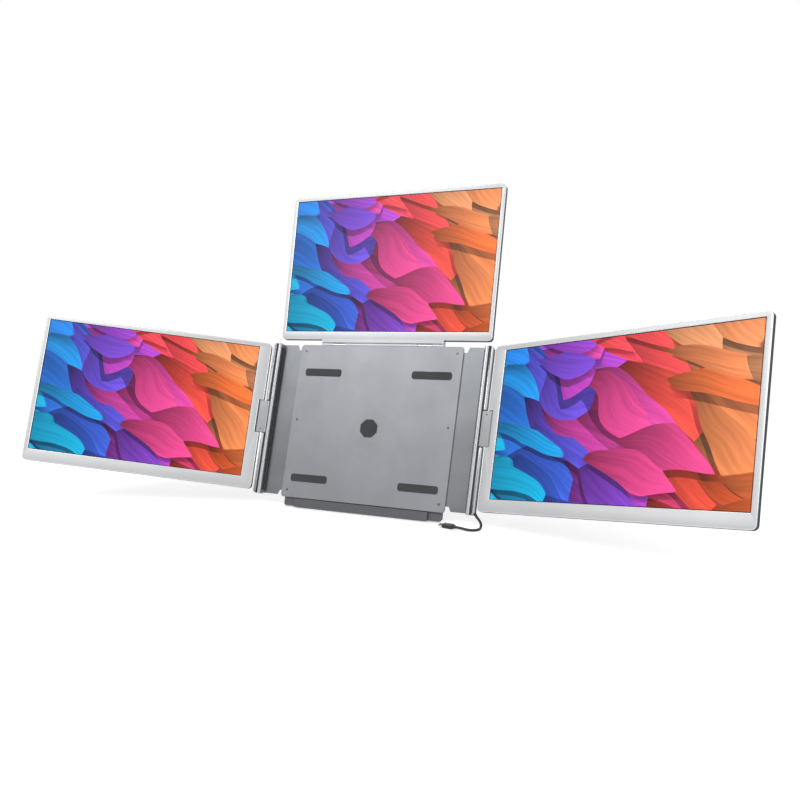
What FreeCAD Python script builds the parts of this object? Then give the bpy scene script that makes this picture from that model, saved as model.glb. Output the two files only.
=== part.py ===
"""Screen extender: three hinged screens on a frame that slides wider, with a kickstand behind.

Sizes are in millimetres and degrees. +Z is up, the viewer is at -Y, and +X is the viewer's right.
The origin is the centre of the foot strip's underside, on the desk.

Every piece is first drawn flat, then put in its place:
- frame space has x to the right, y backward through the frame and z up the frame, with z = 0 at the line that the
  frame is tipped about and y = 0 a little in front of the centre plate. The frame is then tipped back by `recline`.
- screen space has x from the screen's inner edge outward, y backward from its front face and z up from its lower
  edge. A screen is then turned about its hinge and joins frame space.
"""
import FreeCAD, Part
import os
from math import acos, cos, degrees, hypot, pi, radians, sin, sqrt, tan

Vector = FreeCAD.Vector
os.makedirs("parts", exist_ok=True)

# How the object stands in the photograph
recline = 19.5
side_swing = 22.6
top_tilt = 5.0
kickstand_lean = 17.0
lid_line_height = 15.5
foot_behind_lid_line = 10.0

# Gaps between pieces
running_gap = 0.05
slide_gap = 0.2
seat_gap = 0.3
swing_gap = 0.6

# Screens
screen_width = 344.7
screen_height = 215.4
side_margin_inner = 19.0
side_margin_outer = 7.0
side_margin_top = 7.0
side_margin_bottom = 18.5
top_margin_side = 6.0
top_margin_top = 6.0
top_margin_bottom = 13.0
screen_depth = 12.0
screen_corner = 6.0
bezel_depth = 2.5
bezel_sheet = 1.2
bezel_wall = 1.6
bezel_round = 0.7
window_bevel = 0.8
cell_depth = 1.4
cell_border = 2.0
backlight_depth = 2.2
shell_wall = 1.8
shell_bevel = 2.6
rib_width = 1.2
rib_foot = 66.0
board_depth = 1.2
board_share = 0.209
board_height = 34.0
board_inset = 8.0
connector_length = 30.0
chip_depth = 1.4
socket_width = 9.0
socket_depth = 3.2
socket_length = 7.4
socket_sheet = 0.4
socket_pitch = 22.0
blade_half = 3.3
vent_count = 8
vent_width = 3.0
vent_length = 16.0
vent_pitch = 8.5
hollow_corner = 3.0
button_length = 9.0
button_width = 5.0
button_corner = 1.0
button_proud = 0.9
button_lip = 0.9
button_side_gap = 0.15
button_pitch = 18.0
power_button_from_edge = 40.0
buttons_above_display_edge = 12.0

# Side rails
rail_outer = 185.5
rail_front = -4.0
rail_depth = 12.0
rail_bottom = 3.0
rail_below_axis = 2.4
rail_corner = 6.0
strip_width = 5.0
strip_depth = 2.5
strip_corner = 1.6
groove_width = 2.6
band_width = 6.0
band_wall = 1.5
pad_thickness = 1.5
slide_travel = 30.0
slide_plate_depth = 1.6
slide_plate_inner = 58.0
slot_post_x = 100.0
slot_post_low = 40.0
slot_post_below_top = 29.0
slot_post_half = 4.0
slot_post_clip = 1.0

# Double-pivot hinge blocks
hinge_height = 128.0
block_length = 52.0
block_depth = 8.0
block_corner = 3.2
pivot_pitch = 10.0
pivot_inset = 2.5
pivot_depth = 4.5
pivot_radius = 1.5
pivot_grip = 9.0
cover_plate_depth = 0.8
cover_plate_margin = 1.7

# Frame
plate_depth = 2.0
plate_back = 7.8
plate_half_width = 138.0
plate_corner = 5.0
cover_half_width = 132.0
cover_back = 22.0
cover_below_axis = 9.6
cover_wall = 2.2
cover_bevel = 2.5
cover_corner = 12.0
cover_vent_count = 7
cover_vent_pitch = 12.0
cover_vent_width = 2.8
cover_vent_length = 26.0
cover_vent_below_top = 48.0
lid_pad_from_edge = 46.0
lid_pad_length = 64.0
lid_pad_width = 12.0
lid_pad_thickness = 0.6
lid_pad_low = 34.0
lid_pad_below_top = 45.2
lid_pad_clip = 2.5
lid_pad_middle = 28.0
main_board_left = 30.0
main_board_above_pivot = 20.0
main_board_below_top = 36.0
main_board_depth = 1.6
main_board_gap = 3.0
main_board_post_width = 6.0
main_board_post_x = (44.0, 112.0)
main_board_post_low = 12.0
main_board_post_high = 4.0
main_socket_spread = 0.2286
main_chips = ((60.0, 0.4, 18.0, 1.4), (90.0, 0.17, 10.0, 1.4), (88.0, 0.66, 12.0, 2.6), (46.0, 0.74, 9.0, 2.6))
foot_bar_top = 1.0
foot_strip_depth = 2.0
foot_strip_width = 8.0
foot_strip_length = 216.0

# Top hinge
axis_behind_plate = 5.8
top_axis_height = 253.6
top_axis_drop = 8.0
top_axis_depth = 6.5
barrel_radius = 5.0
knuckle_radius = 4.6
tongue_share = 0.58
knuckle_share = 0.3575
knuckle_width = 24.0
top_pin_radius = 2.0
top_pin_grip = 10.0
bracket_leg_depth = 4.0
bracket_leg_width = 20.0
bracket_leg_reach = 26.0

# Kickstand
leg_half_width = 76.0
leg_depth = 3.0
leg_corner = 8.0
leg_rim = 9.0
leg_pivot_height = 118.0
leg_pivot_depth = 18.8
leg_back_gap = 0.5
leg_barrel_radius = 3.6
leg_pin_radius = 2.0
leg_pin_grip = 6.0
leg_foot_radius = 2.6
leg_foot_length = 132.0

# Cable: it leaves the foot of the right rail and lies on the desk
cable_radius = 1.6
cable_sides = 7
gland_radius = 2.3
plug_length = 20.0
plug_neck = 3.5
plug_width = 11.0
plug_depth = 6.4
plug_tip_length = 6.6
plug_tip_width = 8.3
plug_tip_depth = 2.5
gland_start = Vector(184.2, -6.0, 20.0)
cable_route = [
    Vector(188.7, -6.8, 14.6),
    Vector(193.3, -7.6, 9.7),
    Vector(196.3, -11.7, 5.0),
    Vector(196.7, -18.2, 2.0),
    Vector(194.0, -24.9, 1.7),
    Vector(188.0, -29.1, 1.8),
    Vector(180.4, -29.4, 1.9),
    Vector(171.6, -28.0, 3.2),
    Vector(163.0, -26.4, 3.3),
]

# Worked out from the sizes above
side_height = side_margin_bottom + screen_height + side_margin_top
top_width = screen_width + 2 * top_margin_side
board_length = screen_width * board_share
tongue_width = top_width * tongue_share
knuckle_centre = tongue_width * knuckle_share
rail_top = top_axis_height - rail_below_axis
cover_top = top_axis_height - cover_below_axis
slot_post_heights = (slot_post_low, cover_top - slot_post_below_top)
rail_back = rail_front + rail_depth
pivot_back = rail_front + pivot_depth
block_reach = hypot(block_depth / 2 - block_corner, block_depth / 2 - block_corner) + block_corner
notch_backing = 4.0
notch_depth = pivot_inset + block_reach + swing_gap
notch_bottom = hinge_height - block_length / 2 - swing_gap
notch_top = hinge_height + block_length / 2 + swing_gap
side_bottom = hinge_height - side_height / 2 + 0.8
plate_front = plate_back - plate_depth
cover_front = plate_back + slide_gap + slide_plate_depth + slide_gap
shell_floor = screen_depth - shell_wall
backlight_back = bezel_sheet + cell_depth + backlight_depth
board_back = shell_floor - 1.9
top_axis_back = plate_back + axis_behind_plate
strip_inner = rail_outer - strip_width
band_outer = strip_inner - groove_width
band_inner = band_outer - band_width


def prism(points, along, start, end):
    """A solid whose outline has corners (a, b) or (a, b, radius), drawn across the axis `along`."""
    to_space = {
        "x": lambda a, b: Vector(start, a, b),
        "y": lambda a, b: Vector(a, start, b),
        "z": lambda a, b: Vector(a, b, start),
    }[along]
    corners = [(Vector(p[0], p[1], 0), p[2] if len(p) > 2 else 0.0) for p in points]
    edges = []
    joints = []
    for i, (corner, radius) in enumerate(corners):
        before = (corners[i - 1][0] - corner).normalize()
        after = (corners[(i + 1) % len(corners)][0] - corner).normalize()
        if radius <= 0:
            joints.append((corner, None, corner))
            continue
        half_angle = before.getAngle(after) / 2
        reach = radius / tan(half_angle)
        bisector = (before + after).normalize()
        middle = corner + bisector * (radius / sin(half_angle) - radius)
        joints.append((corner + before * reach, middle, corner + after * reach))
    for i, (arrive, middle, leave) in enumerate(joints):
        following = joints[(i + 1) % len(joints)][0]
        if middle is not None:
            ends = [to_space(q.x, q.y) for q in (arrive, middle, leave)]
            edges.append(Part.Arc(*ends).toShape())
        if leave.distanceToPoint(following) > 1e-6:
            edges.append(Part.makeLine(to_space(leave.x, leave.y), to_space(following.x, following.y)))
    direction = {"x": Vector(1, 0, 0), "y": Vector(0, 1, 0), "z": Vector(0, 0, 1)}[along]
    return Part.Face(Part.Wire(edges)).extrude(direction * (end - start))


def slab(x0, x1, z0, z1, y0, y1, corner=0.0):
    """A flat piece that faces the viewer, from y0 back to y1, with round corners."""
    return prism([(x0, z0, corner), (x1, z0, corner), (x1, z1, corner), (x0, z1, corner)], "y", y0, y1)


def box(x0, x1, y0, y1, z0, z1):
    return Part.makeBox(x1 - x0, y1 - y0, z1 - z0, Vector(x0, y0, z0))


def rod(along, centre, radius, start, end):
    """A cylinder along an axis; `centre` is the pair of its other two coordinates, in x, y, z order."""
    a, b = centre
    base, direction = {
        "x": (Vector(start, a, b), Vector(1, 0, 0)),
        "y": (Vector(a, start, b), Vector(0, 1, 0)),
        "z": (Vector(a, b, start), Vector(0, 0, 1)),
    }[along]
    return Part.makeCylinder(radius, end - start, base, direction)


def joined(shapes):
    whole = shapes[0].multiFuse(shapes[1:]) if len(shapes) > 1 else shapes[0]
    return whole.removeSplitter()


def bevelled(shape, size, wanted):
    """The shape with a flat bevel on the edges that `wanted` picks."""
    return shape.makeChamfer(size, [e for e in shape.Edges if wanted(e)])


def edge_lies_at(edge, axis, value):
    box_of_edge = edge.BoundBox
    low = getattr(box_of_edge, axis + "Min")
    high = getattr(box_of_edge, axis + "Max")
    return abs(low - value) < 1e-4 and abs(high - value) < 1e-4


def bevelled_window(x0, x1, z0, z1, y0, y1, bevel):
    """The cutter for a window whose front edge is bevelled."""
    def frame_wire(grow, y):
        left, right, low, high = x0 - grow, x1 + grow, z0 - grow, z1 + grow
        points = [Vector(x, y, z) for x, z in ((left, low), (right, low), (right, high), (left, high))]
        return Part.makePolygon(points + points[:1])
    slope = Part.makeLoft([frame_wire(bevel, y0), frame_wire(0, y0 + bevel)], True, True)
    return slope.fuse(box(x0, x1, y0 + bevel / 2, y1, z0, z1))


def clipped(x0, x1, z0, z1, y0, y1, clip):
    """A flat piece that faces the viewer, with its corners cut off straight."""
    points = [
        (x0 + clip, z0), (x1 - clip, z0), (x1, z0 + clip), (x1, z1 - clip),
        (x1 - clip, z1), (x0 + clip, z1), (x0, z1 - clip), (x0, z0 + clip),
    ]
    return prism(points, "y", y0, y1)


def mirrored(shape):
    return shape.mirror(Vector(0, 0, 0), Vector(1, 0, 0))


def in_frame(shape):
    """From frame space to the row: tipped back about its line z = 0, then set on the desk."""
    placed = shape.copy()
    placed.rotate(Vector(0, 0, 0), Vector(1, 0, 0), -recline)
    placed.translate(Vector(0, -foot_behind_lid_line, lid_line_height))
    return placed


def keep(name, *shapes):
    """Write one node from its separate solids."""
    solids = [solid for shape in shapes for solid in shape.Solids]
    for solid in solids:
        if not solid.isValid():
            print("not valid:", name)
    whole = solids[0] if len(solids) == 1 else Part.makeCompound(solids)
    whole.exportStep("parts/" + name + ".step")
    volume = sum(solid.Volume for solid in solids)
    print(f"{name:26s} {len(solids):3d} solids {volume / 1000:9.2f} cm3")


class Screen:
    """The margins of one screen and what its inner and lower edges carry."""

    def __init__(self, left, right, top, bottom, notch, tongue):
        self.left = left
        self.width = left + screen_width + right
        self.height = bottom + screen_height + top
        self.bottom = bottom
        self.notch = notch
        self.tongue = tongue
        self.notch_low = notch_bottom - side_bottom
        self.notch_high = notch_top - side_bottom
        self.board_left = left + board_inset
        self.board_low = shell_wall + seat_gap
        self.buttons_z = bottom + buttons_above_display_edge
        self.power_x = self.width - power_button_from_edge
        self.menu_x = self.power_x - button_pitch

    def outline(self, with_tongue=False):
        right, high = self.width, self.height
        points = [(0, 0, screen_corner)]
        if with_tongue:
            middle, half, drop = self.width / 2, tongue_width / 2, tongue_skin_drop()
            points += [(middle - half, 0), (middle - half, -drop), (middle + half, -drop), (middle + half, 0)]
        return points + [(right, 0, screen_corner), (right, high, screen_corner), (0, high, screen_corner)]

    def cell_box(self, y0, y1):
        """The block of space behind the display, a little larger than what is seen of it."""
        grow = cell_border
        return box(
            self.left - grow, self.left + screen_width + grow, y0, y1,
            self.bottom - grow, self.bottom + screen_height + grow,
        )


def tongue_skin_drop():
    """How far the bezel runs down over the tongue before it meets the round barrel."""
    step = top_axis_depth - bezel_depth
    return top_axis_drop - sqrt(barrel_radius ** 2 - step ** 2) - 0.1


def hinge_notch(screen, y0, y1):
    return box(-1.0, notch_depth, y0, y1, screen.notch_low, screen.notch_high)


def make_bezel(screen):
    plate = prism(screen.outline(with_tongue=screen.tongue), "y", 0, bezel_depth)
    plate = bevelled(plate, bezel_round, lambda e: edge_lies_at(e, "Y", 0))
    pocket = clipped(
        bezel_wall, screen.width - bezel_wall, bezel_wall, screen.height - bezel_wall,
        bezel_sheet, bezel_depth, hollow_corner,
    )
    window = bevelled_window(
        screen.left, screen.left + screen_width, screen.bottom, screen.bottom + screen_height,
        0, bezel_sheet, window_bevel,
    )
    body = plate.cut(pocket).cut(window)
    if screen.notch:
        backing = box(
            bezel_wall / 2, notch_depth + notch_backing, bezel_sheet / 2, bezel_depth,
            screen.notch_low - notch_backing, screen.notch_high + notch_backing,
        )
        body = joined([body, backing]).cut(hinge_notch(screen, 0, bezel_depth))
    return body


def make_cell(screen):
    return screen.cell_box(bezel_sheet, bezel_sheet + cell_depth)


def make_backlight(screen):
    """The light guide in its shallow metal tray."""
    return screen.cell_box(bezel_sheet + cell_depth, backlight_back)


def vent_slots(x0, z0):
    slots = []
    for i in range(vent_count):
        left = x0 + i * vent_pitch
        slots.append(box(left, left + vent_width, shell_floor - 1, screen_depth + 1, z0, z0 + vent_length))
    return slots


def make_shell(screen):
    """The moulded rear half: bevelled outside, hollow inside, with ribs, vents and openings for the buttons."""
    right, high = screen.width - shell_wall, screen.height - shell_wall
    outer = prism(screen.outline(), "y", bezel_depth, screen_depth)
    outer = bevelled(outer, shell_bevel, lambda e: edge_lies_at(e, "Y", screen_depth))
    body = outer.cut(clipped(shell_wall, right, shell_wall, high, bezel_depth, shell_floor, hollow_corner))

    added = []
    for share in (0.33, 0.66):
        x = screen.width * share
        added.append(box(x - rib_width / 2, x + rib_width / 2, backlight_back, shell_floor, rib_foot, high))
    z = screen.height * 0.6
    added.append(box(shell_wall, right, backlight_back, shell_floor, z - rib_width / 2, z + rib_width / 2))
    for x in (screen.board_left + 5, screen.board_left + board_length - 5):
        z = screen.board_low + board_height - 5
        added.append(box(x - 2, x + 2, board_back, shell_floor, z - 2, z + 2))
    if screen.notch:
        added.append(box(
            shell_wall / 2, notch_depth + notch_backing, bezel_depth, shell_floor,
            screen.notch_low - pivot_grip - notch_backing, screen.notch_high + pivot_grip + notch_backing,
        ))
    body = joined([body] + added)

    holes = vent_slots(screen.board_left, screen.board_low + board_height + 8.0)
    for i in range(2):
        x = socket_centre(screen, i)
        half = socket_width / 2 + 0.1
        low, high = board_back - board_depth - socket_depth - 0.1, board_back - board_depth + 0.05
        holes.append(box(x - half, x + half, low, high, -1, screen.board_low + 3))
    for x in (screen.power_x, screen.menu_x):
        holes.append(button_prism(screen, x, button_side_gap, shell_floor - 1, screen_depth + 1))
    if screen.notch:
        holes.append(hinge_notch(screen, bezel_depth, screen_depth + 1))
        holes.append(panel_pin(screen))
    if screen.tongue:
        holes.append(tongue_flange(screen, 0.1, shell_wall + 0.1))
    return body.cut(Part.makeCompound(holes))


def socket_centre(screen, index):
    return screen.board_left + 13.0 + index * socket_pitch


def make_board(screen):
    """The driver board: a green sheet with two sockets on its lower edge, chips and a ribbon connector."""
    front = board_back - board_depth
    x0, z0 = screen.board_left, screen.board_low
    pieces = [box(x0, x0 + board_length, front, board_back, z0, z0 + board_height)]
    for i in range(2):
        x, low = socket_centre(screen, i), 0.4
        half = socket_width / 2
        middle = front - socket_depth / 2
        socket = box(x - half, x + half, front - socket_depth, front, low, low + socket_length)
        mouth = box(
            x - half + socket_sheet, x + half - socket_sheet, front - socket_depth + socket_sheet,
            front - socket_sheet, low, low + socket_length - 1.0,
        )
        blade = box(x - blade_half, x + blade_half, middle - 0.35, middle + 0.35, low + 1.0, low + socket_length)
        pieces += [socket.cut(mouth), blade]
    for x, z, wide, tall in ((48, 10, 14, 14), (30, 15, 9, 9), (10, 14, 8, 5)):
        pieces.append(box(x0 + x, x0 + x + wide, front - chip_depth, front, z0 + z, z0 + z + tall))
    top = z0 + board_height
    pieces.append(box(x0 + 12, x0 + 12 + connector_length, front - chip_depth, front, top - 7, top - 3))
    return joined(pieces)


def button_prism(screen, x, grow, y0, y1):
    half_length, half_width = button_length / 2 + grow, button_width / 2 + grow
    z = screen.buttons_z
    return clipped(x - half_length, x + half_length, z - half_width, z + half_width, y0, y1, button_corner)


def make_button(screen, x):
    """A cap in its opening, with a lip behind the shell that keeps it in."""
    inner, outer = shell_floor - 0.1 - button_lip, screen_depth + button_proud
    cap = button_prism(screen, x, 0, inner, outer)
    cap = bevelled(cap, 0.4, lambda e: edge_lies_at(e, "Y", outer))
    lip = button_prism(screen, x, 1.0, inner, inner + button_lip)
    return joined([cap, lip])


def panel_pin(screen):
    low, high = screen.notch_low - pivot_grip, screen.notch_high + pivot_grip
    return rod("z", (pivot_inset, pivot_depth), pivot_radius, low, high)


def tongue_flange(screen, grow, depth_of_wall=None):
    """The part of the tongue inside the top screen, or the cutter for its slot in the shell's lower wall."""
    middle = screen.width / 2
    half = knuckle_centre + knuckle_width / 2 + 4.0
    high = depth_of_wall if depth_of_wall else top_margin_bottom - cell_border - 1.5
    return box(
        middle - half - grow, middle + half + grow, bezel_depth + 1.0 - grow, shell_floor - 1.8 + grow,
        -1.0 if depth_of_wall else -0.01, high,
    )


def make_tongue(screen):
    """The broad tongue under the top screen: barrel sections round the axis, and two gaps for the knuckles."""
    middle, half = screen.width / 2, tongue_width / 2
    axis = (top_axis_depth, -top_axis_drop)
    barrel = rod("x", axis, barrel_radius, middle - half, middle + half)
    back = top_axis_depth + barrel_radius
    body = box(middle - half, middle + half, bezel_depth, back, -top_axis_drop, 0)
    whole = joined([barrel, body, tongue_flange(screen, 0)])
    knuckle_room = knuckle_radius + 0.4
    leg_room = bracket_leg_depth / 2 + swing_gap
    reach = knuckle_width / 2 + seat_gap
    pin_reach = knuckle_width / 2 + top_pin_grip
    gaps = []
    for x in (middle - knuckle_centre, middle + knuckle_centre):
        low, front = axis[1] - knuckle_room - 1, axis[0] - knuckle_room
        gaps.append(rod("x", axis, knuckle_room, x - reach, x + reach))
        gaps.append(box(x - reach, x + reach, front, back + 1, low, axis[1]))
        gaps.append(box(x - reach, x + reach, axis[0], back + 1, axis[1] - 1, axis[1] + leg_room))
        gaps.append(rod("x", axis, top_pin_radius, x - pin_reach, x + pin_reach))
    return whole.cut(Part.makeCompound(gaps))


def top_place(shape):
    """The top screen turned about the hinge axis on the frame's upper edge."""
    placed = shape.copy()
    placed.translate(Vector(-top_width / 2, -top_axis_depth, top_axis_drop))
    placed.rotate(Vector(0, 0, 0), Vector(1, 0, 0), top_tilt)
    placed.translate(Vector(0, top_axis_back, top_axis_height))
    return in_frame(placed)


def right_place(shape):
    """A side screen on the block's outer pin, swung towards the viewer."""
    half_swing = radians(side_swing / 2)
    placed = shape.copy()
    placed.translate(Vector(-pivot_inset, -pivot_depth, 0))
    placed.rotate(Vector(0, 0, 0), Vector(0, 0, 1), -side_swing)
    x = rail_outer - pivot_inset + pivot_pitch * cos(half_swing)
    placed.translate(Vector(x, pivot_back - pivot_pitch * sin(half_swing), side_bottom))
    return placed


def place_for(side):
    if side == "right":
        return lambda shape: in_frame(right_place(shape))
    if side == "left":
        return lambda shape: in_frame(mirrored(right_place(shape)))
    return top_place


def make_screen(side, screen):
    place = place_for(side)
    keep(side + "_bezel", place(make_bezel(screen)))
    keep(side + "_screen_cell", place(make_cell(screen)))
    keep(side + "_backlight", place(make_backlight(screen)))
    keep(side + "_rear_shell", place(make_shell(screen)))
    keep(side + "_driver_board", place(make_board(screen)))
    keep(side + "_power_button", place(make_button(screen, screen.power_x)))
    keep(side + "_menu_button", place(make_button(screen, screen.menu_x)))
    if screen.notch:
        keep(side + "_panel_pin", place(panel_pin(screen)))
    if screen.tongue:
        keep("top_hinge_tongue", place(make_tongue(screen)))


def hinge_block_pieces():
    """The block and its cover plate, drawn between the rail pin at x = 0 and the panel pin."""
    half = block_depth / 2
    low, high = -block_length / 2, block_length / 2
    section = [
        (-half, -half, block_corner), (pivot_pitch + half, -half, block_corner),
        (pivot_pitch + half, half, block_corner), (-half, half, block_corner),
    ]
    body = prism(section, "z", low, high)
    bores = [rod("z", (x, 0), pivot_radius + running_gap, low, high) for x in (0, pivot_pitch)]
    plate_left, plate_right = -half + cover_plate_margin, pivot_pitch + half - cover_plate_margin
    plate = box(plate_left, plate_right, -half, -half + cover_plate_depth, low, high)
    return body.cut(Part.makeCompound(bores + [plate])), plate


def make_hinges():
    """One block serves both sides: the left one is the right one turned over end for end."""
    block, plate = hinge_block_pieces()

    def place(shape, side):
        placed = shape.copy()
        if side == "left":
            placed.rotate(Vector(0, 0, 0), Vector(0, 1, 0), 180)
        turn = -side_swing / 2 if side == "right" else side_swing / 2
        placed.rotate(Vector(0, 0, 0), Vector(0, 0, 1), turn)
        x = rail_outer - pivot_inset
        placed.translate(Vector(x if side == "right" else -x, pivot_back, hinge_height))
        return in_frame(placed)

    for side in ("left", "right"):
        keep(side + "_hinge_block", place(block, side))
        keep(side + "_hinge_cover_plate", place(plate, side))


def rail_corner_trim(shape):
    """Keep the part of a rail piece inside the rail's outline, with its two round outer corners."""
    outline = prism(
        [(band_inner - 5, rail_bottom), (rail_outer, rail_bottom, rail_corner),
         (rail_outer, rail_top, rail_corner), (band_inner - 5, rail_top)],
        "y", rail_front - 1, rail_back + 5,
    )
    return shape.common(outline)


def make_rail_pin():
    low, high = notch_bottom - pivot_grip, notch_top + pivot_grip
    return rod("z", (rail_outer - pivot_inset, pivot_back), pivot_radius, low, high)


def make_rail_body():
    front = rail_front + strip_depth
    section = [
        (band_inner + band_wall, front), (rail_outer, front), (rail_outer, rail_back - 2),
        (rail_outer - 2, rail_back), (band_inner + band_wall, rail_back),
    ]
    body = rail_corner_trim(prism(section, "z", rail_bottom, rail_top))
    inner = rail_outer - notch_depth
    notch = box(inner, rail_outer + 1, rail_front - 1, rail_back + 1, notch_bottom, notch_top)
    return body.cut(notch).cut(make_rail_pin())


def make_band():
    """The rounded silver band along the rail; its crown is an arc in the section."""
    front = rail_front + strip_depth
    start, crown, end = (
        Vector(band_inner, rail_front + 3.6, rail_bottom),
        Vector(band_inner + band_width * 0.42, rail_front + 0.2, rail_bottom),
        Vector(band_outer, front, rail_bottom),
    )
    wall = band_inner + band_wall
    behind = ((wall, front), (wall, rail_back), (band_inner, rail_back))
    corners = [end] + [Vector(x, y, rail_bottom) for x, y in behind] + [start]
    edges = [Part.Arc(start, crown, end).toShape()]
    edges += [Part.makeLine(a, b) for a, b in zip(corners, corners[1:])]
    return Part.Face(Part.Wire(edges)).extrude(Vector(0, 0, rail_top - rail_bottom))


def make_strips():
    """The two flat front strips above and below the hinge block."""
    front, back = rail_front, rail_front + strip_depth
    strips = []
    for low, high in ((rail_bottom, notch_bottom - 0.4), (notch_top + 0.4, rail_top)):
        bar = clipped(strip_inner, rail_outer, low, high, front, back, strip_corner)
        strip = rail_corner_trim(bar)
        strips.append(bevelled(strip, bezel_round, lambda e: edge_lies_at(e, "Y", front)))
    return strips


def make_slide_plate():
    """A sheet that slides between the centre plate and the rear cover; two slots ride on the cover's posts."""
    y0 = plate_back + slide_gap
    shoulder = plate_half_width + 5.0
    low, high = 12.0, cover_top - 1.0
    outer, foot = rail_outer - 3, rail_bottom + 2
    outline = [
        (slide_plate_inner, low), (shoulder, low), (shoulder + 3, foot), (outer - 3, foot), (outer, foot + 3),
        (outer, rail_top - 3), (outer - 3, rail_top), (shoulder + 3, rail_top), (shoulder, high),
        (slide_plate_inner, high),
    ]
    plate = prism(outline, "y", y0, y0 + slide_plate_depth)
    width = slot_post_half + slide_gap
    start, end = slot_post_x - slide_travel - width, slot_post_x + slide_travel + width
    y1 = y0 + slide_plate_depth
    slots = [
        clipped(start, end, z - width, z + width, y0 - 1, y1 + 1, slot_post_clip)
        for z in slot_post_heights
    ]
    return plate.cut(Part.makeCompound(slots))


def make_grip_pad():
    section = [
        (band_inner - pad_thickness, rail_front + 4.6, 0.6), (band_inner, rail_front + 4.6),
        (band_inner, plate_front - seat_gap), (band_inner - pad_thickness, plate_front - seat_gap, 0.6),
    ]
    return prism(section, "z", rail_bottom + 6, rail_top - 6)


def make_rails():
    pieces = {
        "rail": [make_rail_body()],
        "clamp_band": [make_band()],
        "rail_strips": make_strips(),
        "grip_pad": [make_grip_pad()],
        "slide_plate": [make_slide_plate()],
        "rail_pin": [make_rail_pin()],
    }
    for name, shapes in pieces.items():
        keep("right_" + name, *[in_frame(s) for s in shapes])
        keep("left_" + name, *[in_frame(mirrored(s)) for s in shapes])


def slot_posts():
    return [(x, z) for x in (-slot_post_x, slot_post_x) for z in slot_post_heights]


def make_centre_plate():
    low = foot_bar_top + 1.0
    plate = slab(-plate_half_width, plate_half_width, low, rail_top, plate_front, plate_back, plate_corner)
    return bevelled(plate, 0.5, lambda e: edge_lies_at(e, "Y", plate_front))


def make_lid_pads():
    """Four long soft pads and one eight-sided one on the centre plate's front."""
    front = plate_front - lid_pad_thickness
    x, heights = plate_half_width - lid_pad_from_edge, (lid_pad_low, rail_top - lid_pad_below_top)
    long, wide = lid_pad_length / 2, lid_pad_width / 2
    pads = []
    for middle in (-x, x):
        for z in heights:
            pads.append(clipped(middle - long, middle + long, z - wide, z + wide, front, plate_front, lid_pad_clip))
    half, z = lid_pad_middle / 2, sum(heights) / 2
    octagon_clip = lid_pad_middle * (1 - sqrt(0.5))
    pads.append(clipped(-half, half, z - half, z + half, front, plate_front, octagon_clip))
    return pads


def desk_cutter():
    """Everything below the top of the foot strip, in frame space."""
    block = Part.makeBox(600, 200, 100, Vector(-300, -100, foot_strip_depth - 100))
    block.translate(Vector(0, foot_behind_lid_line, -lid_line_height))
    block.rotate(Vector(0, 0, 0), Vector(1, 0, 0), recline)
    return block


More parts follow.
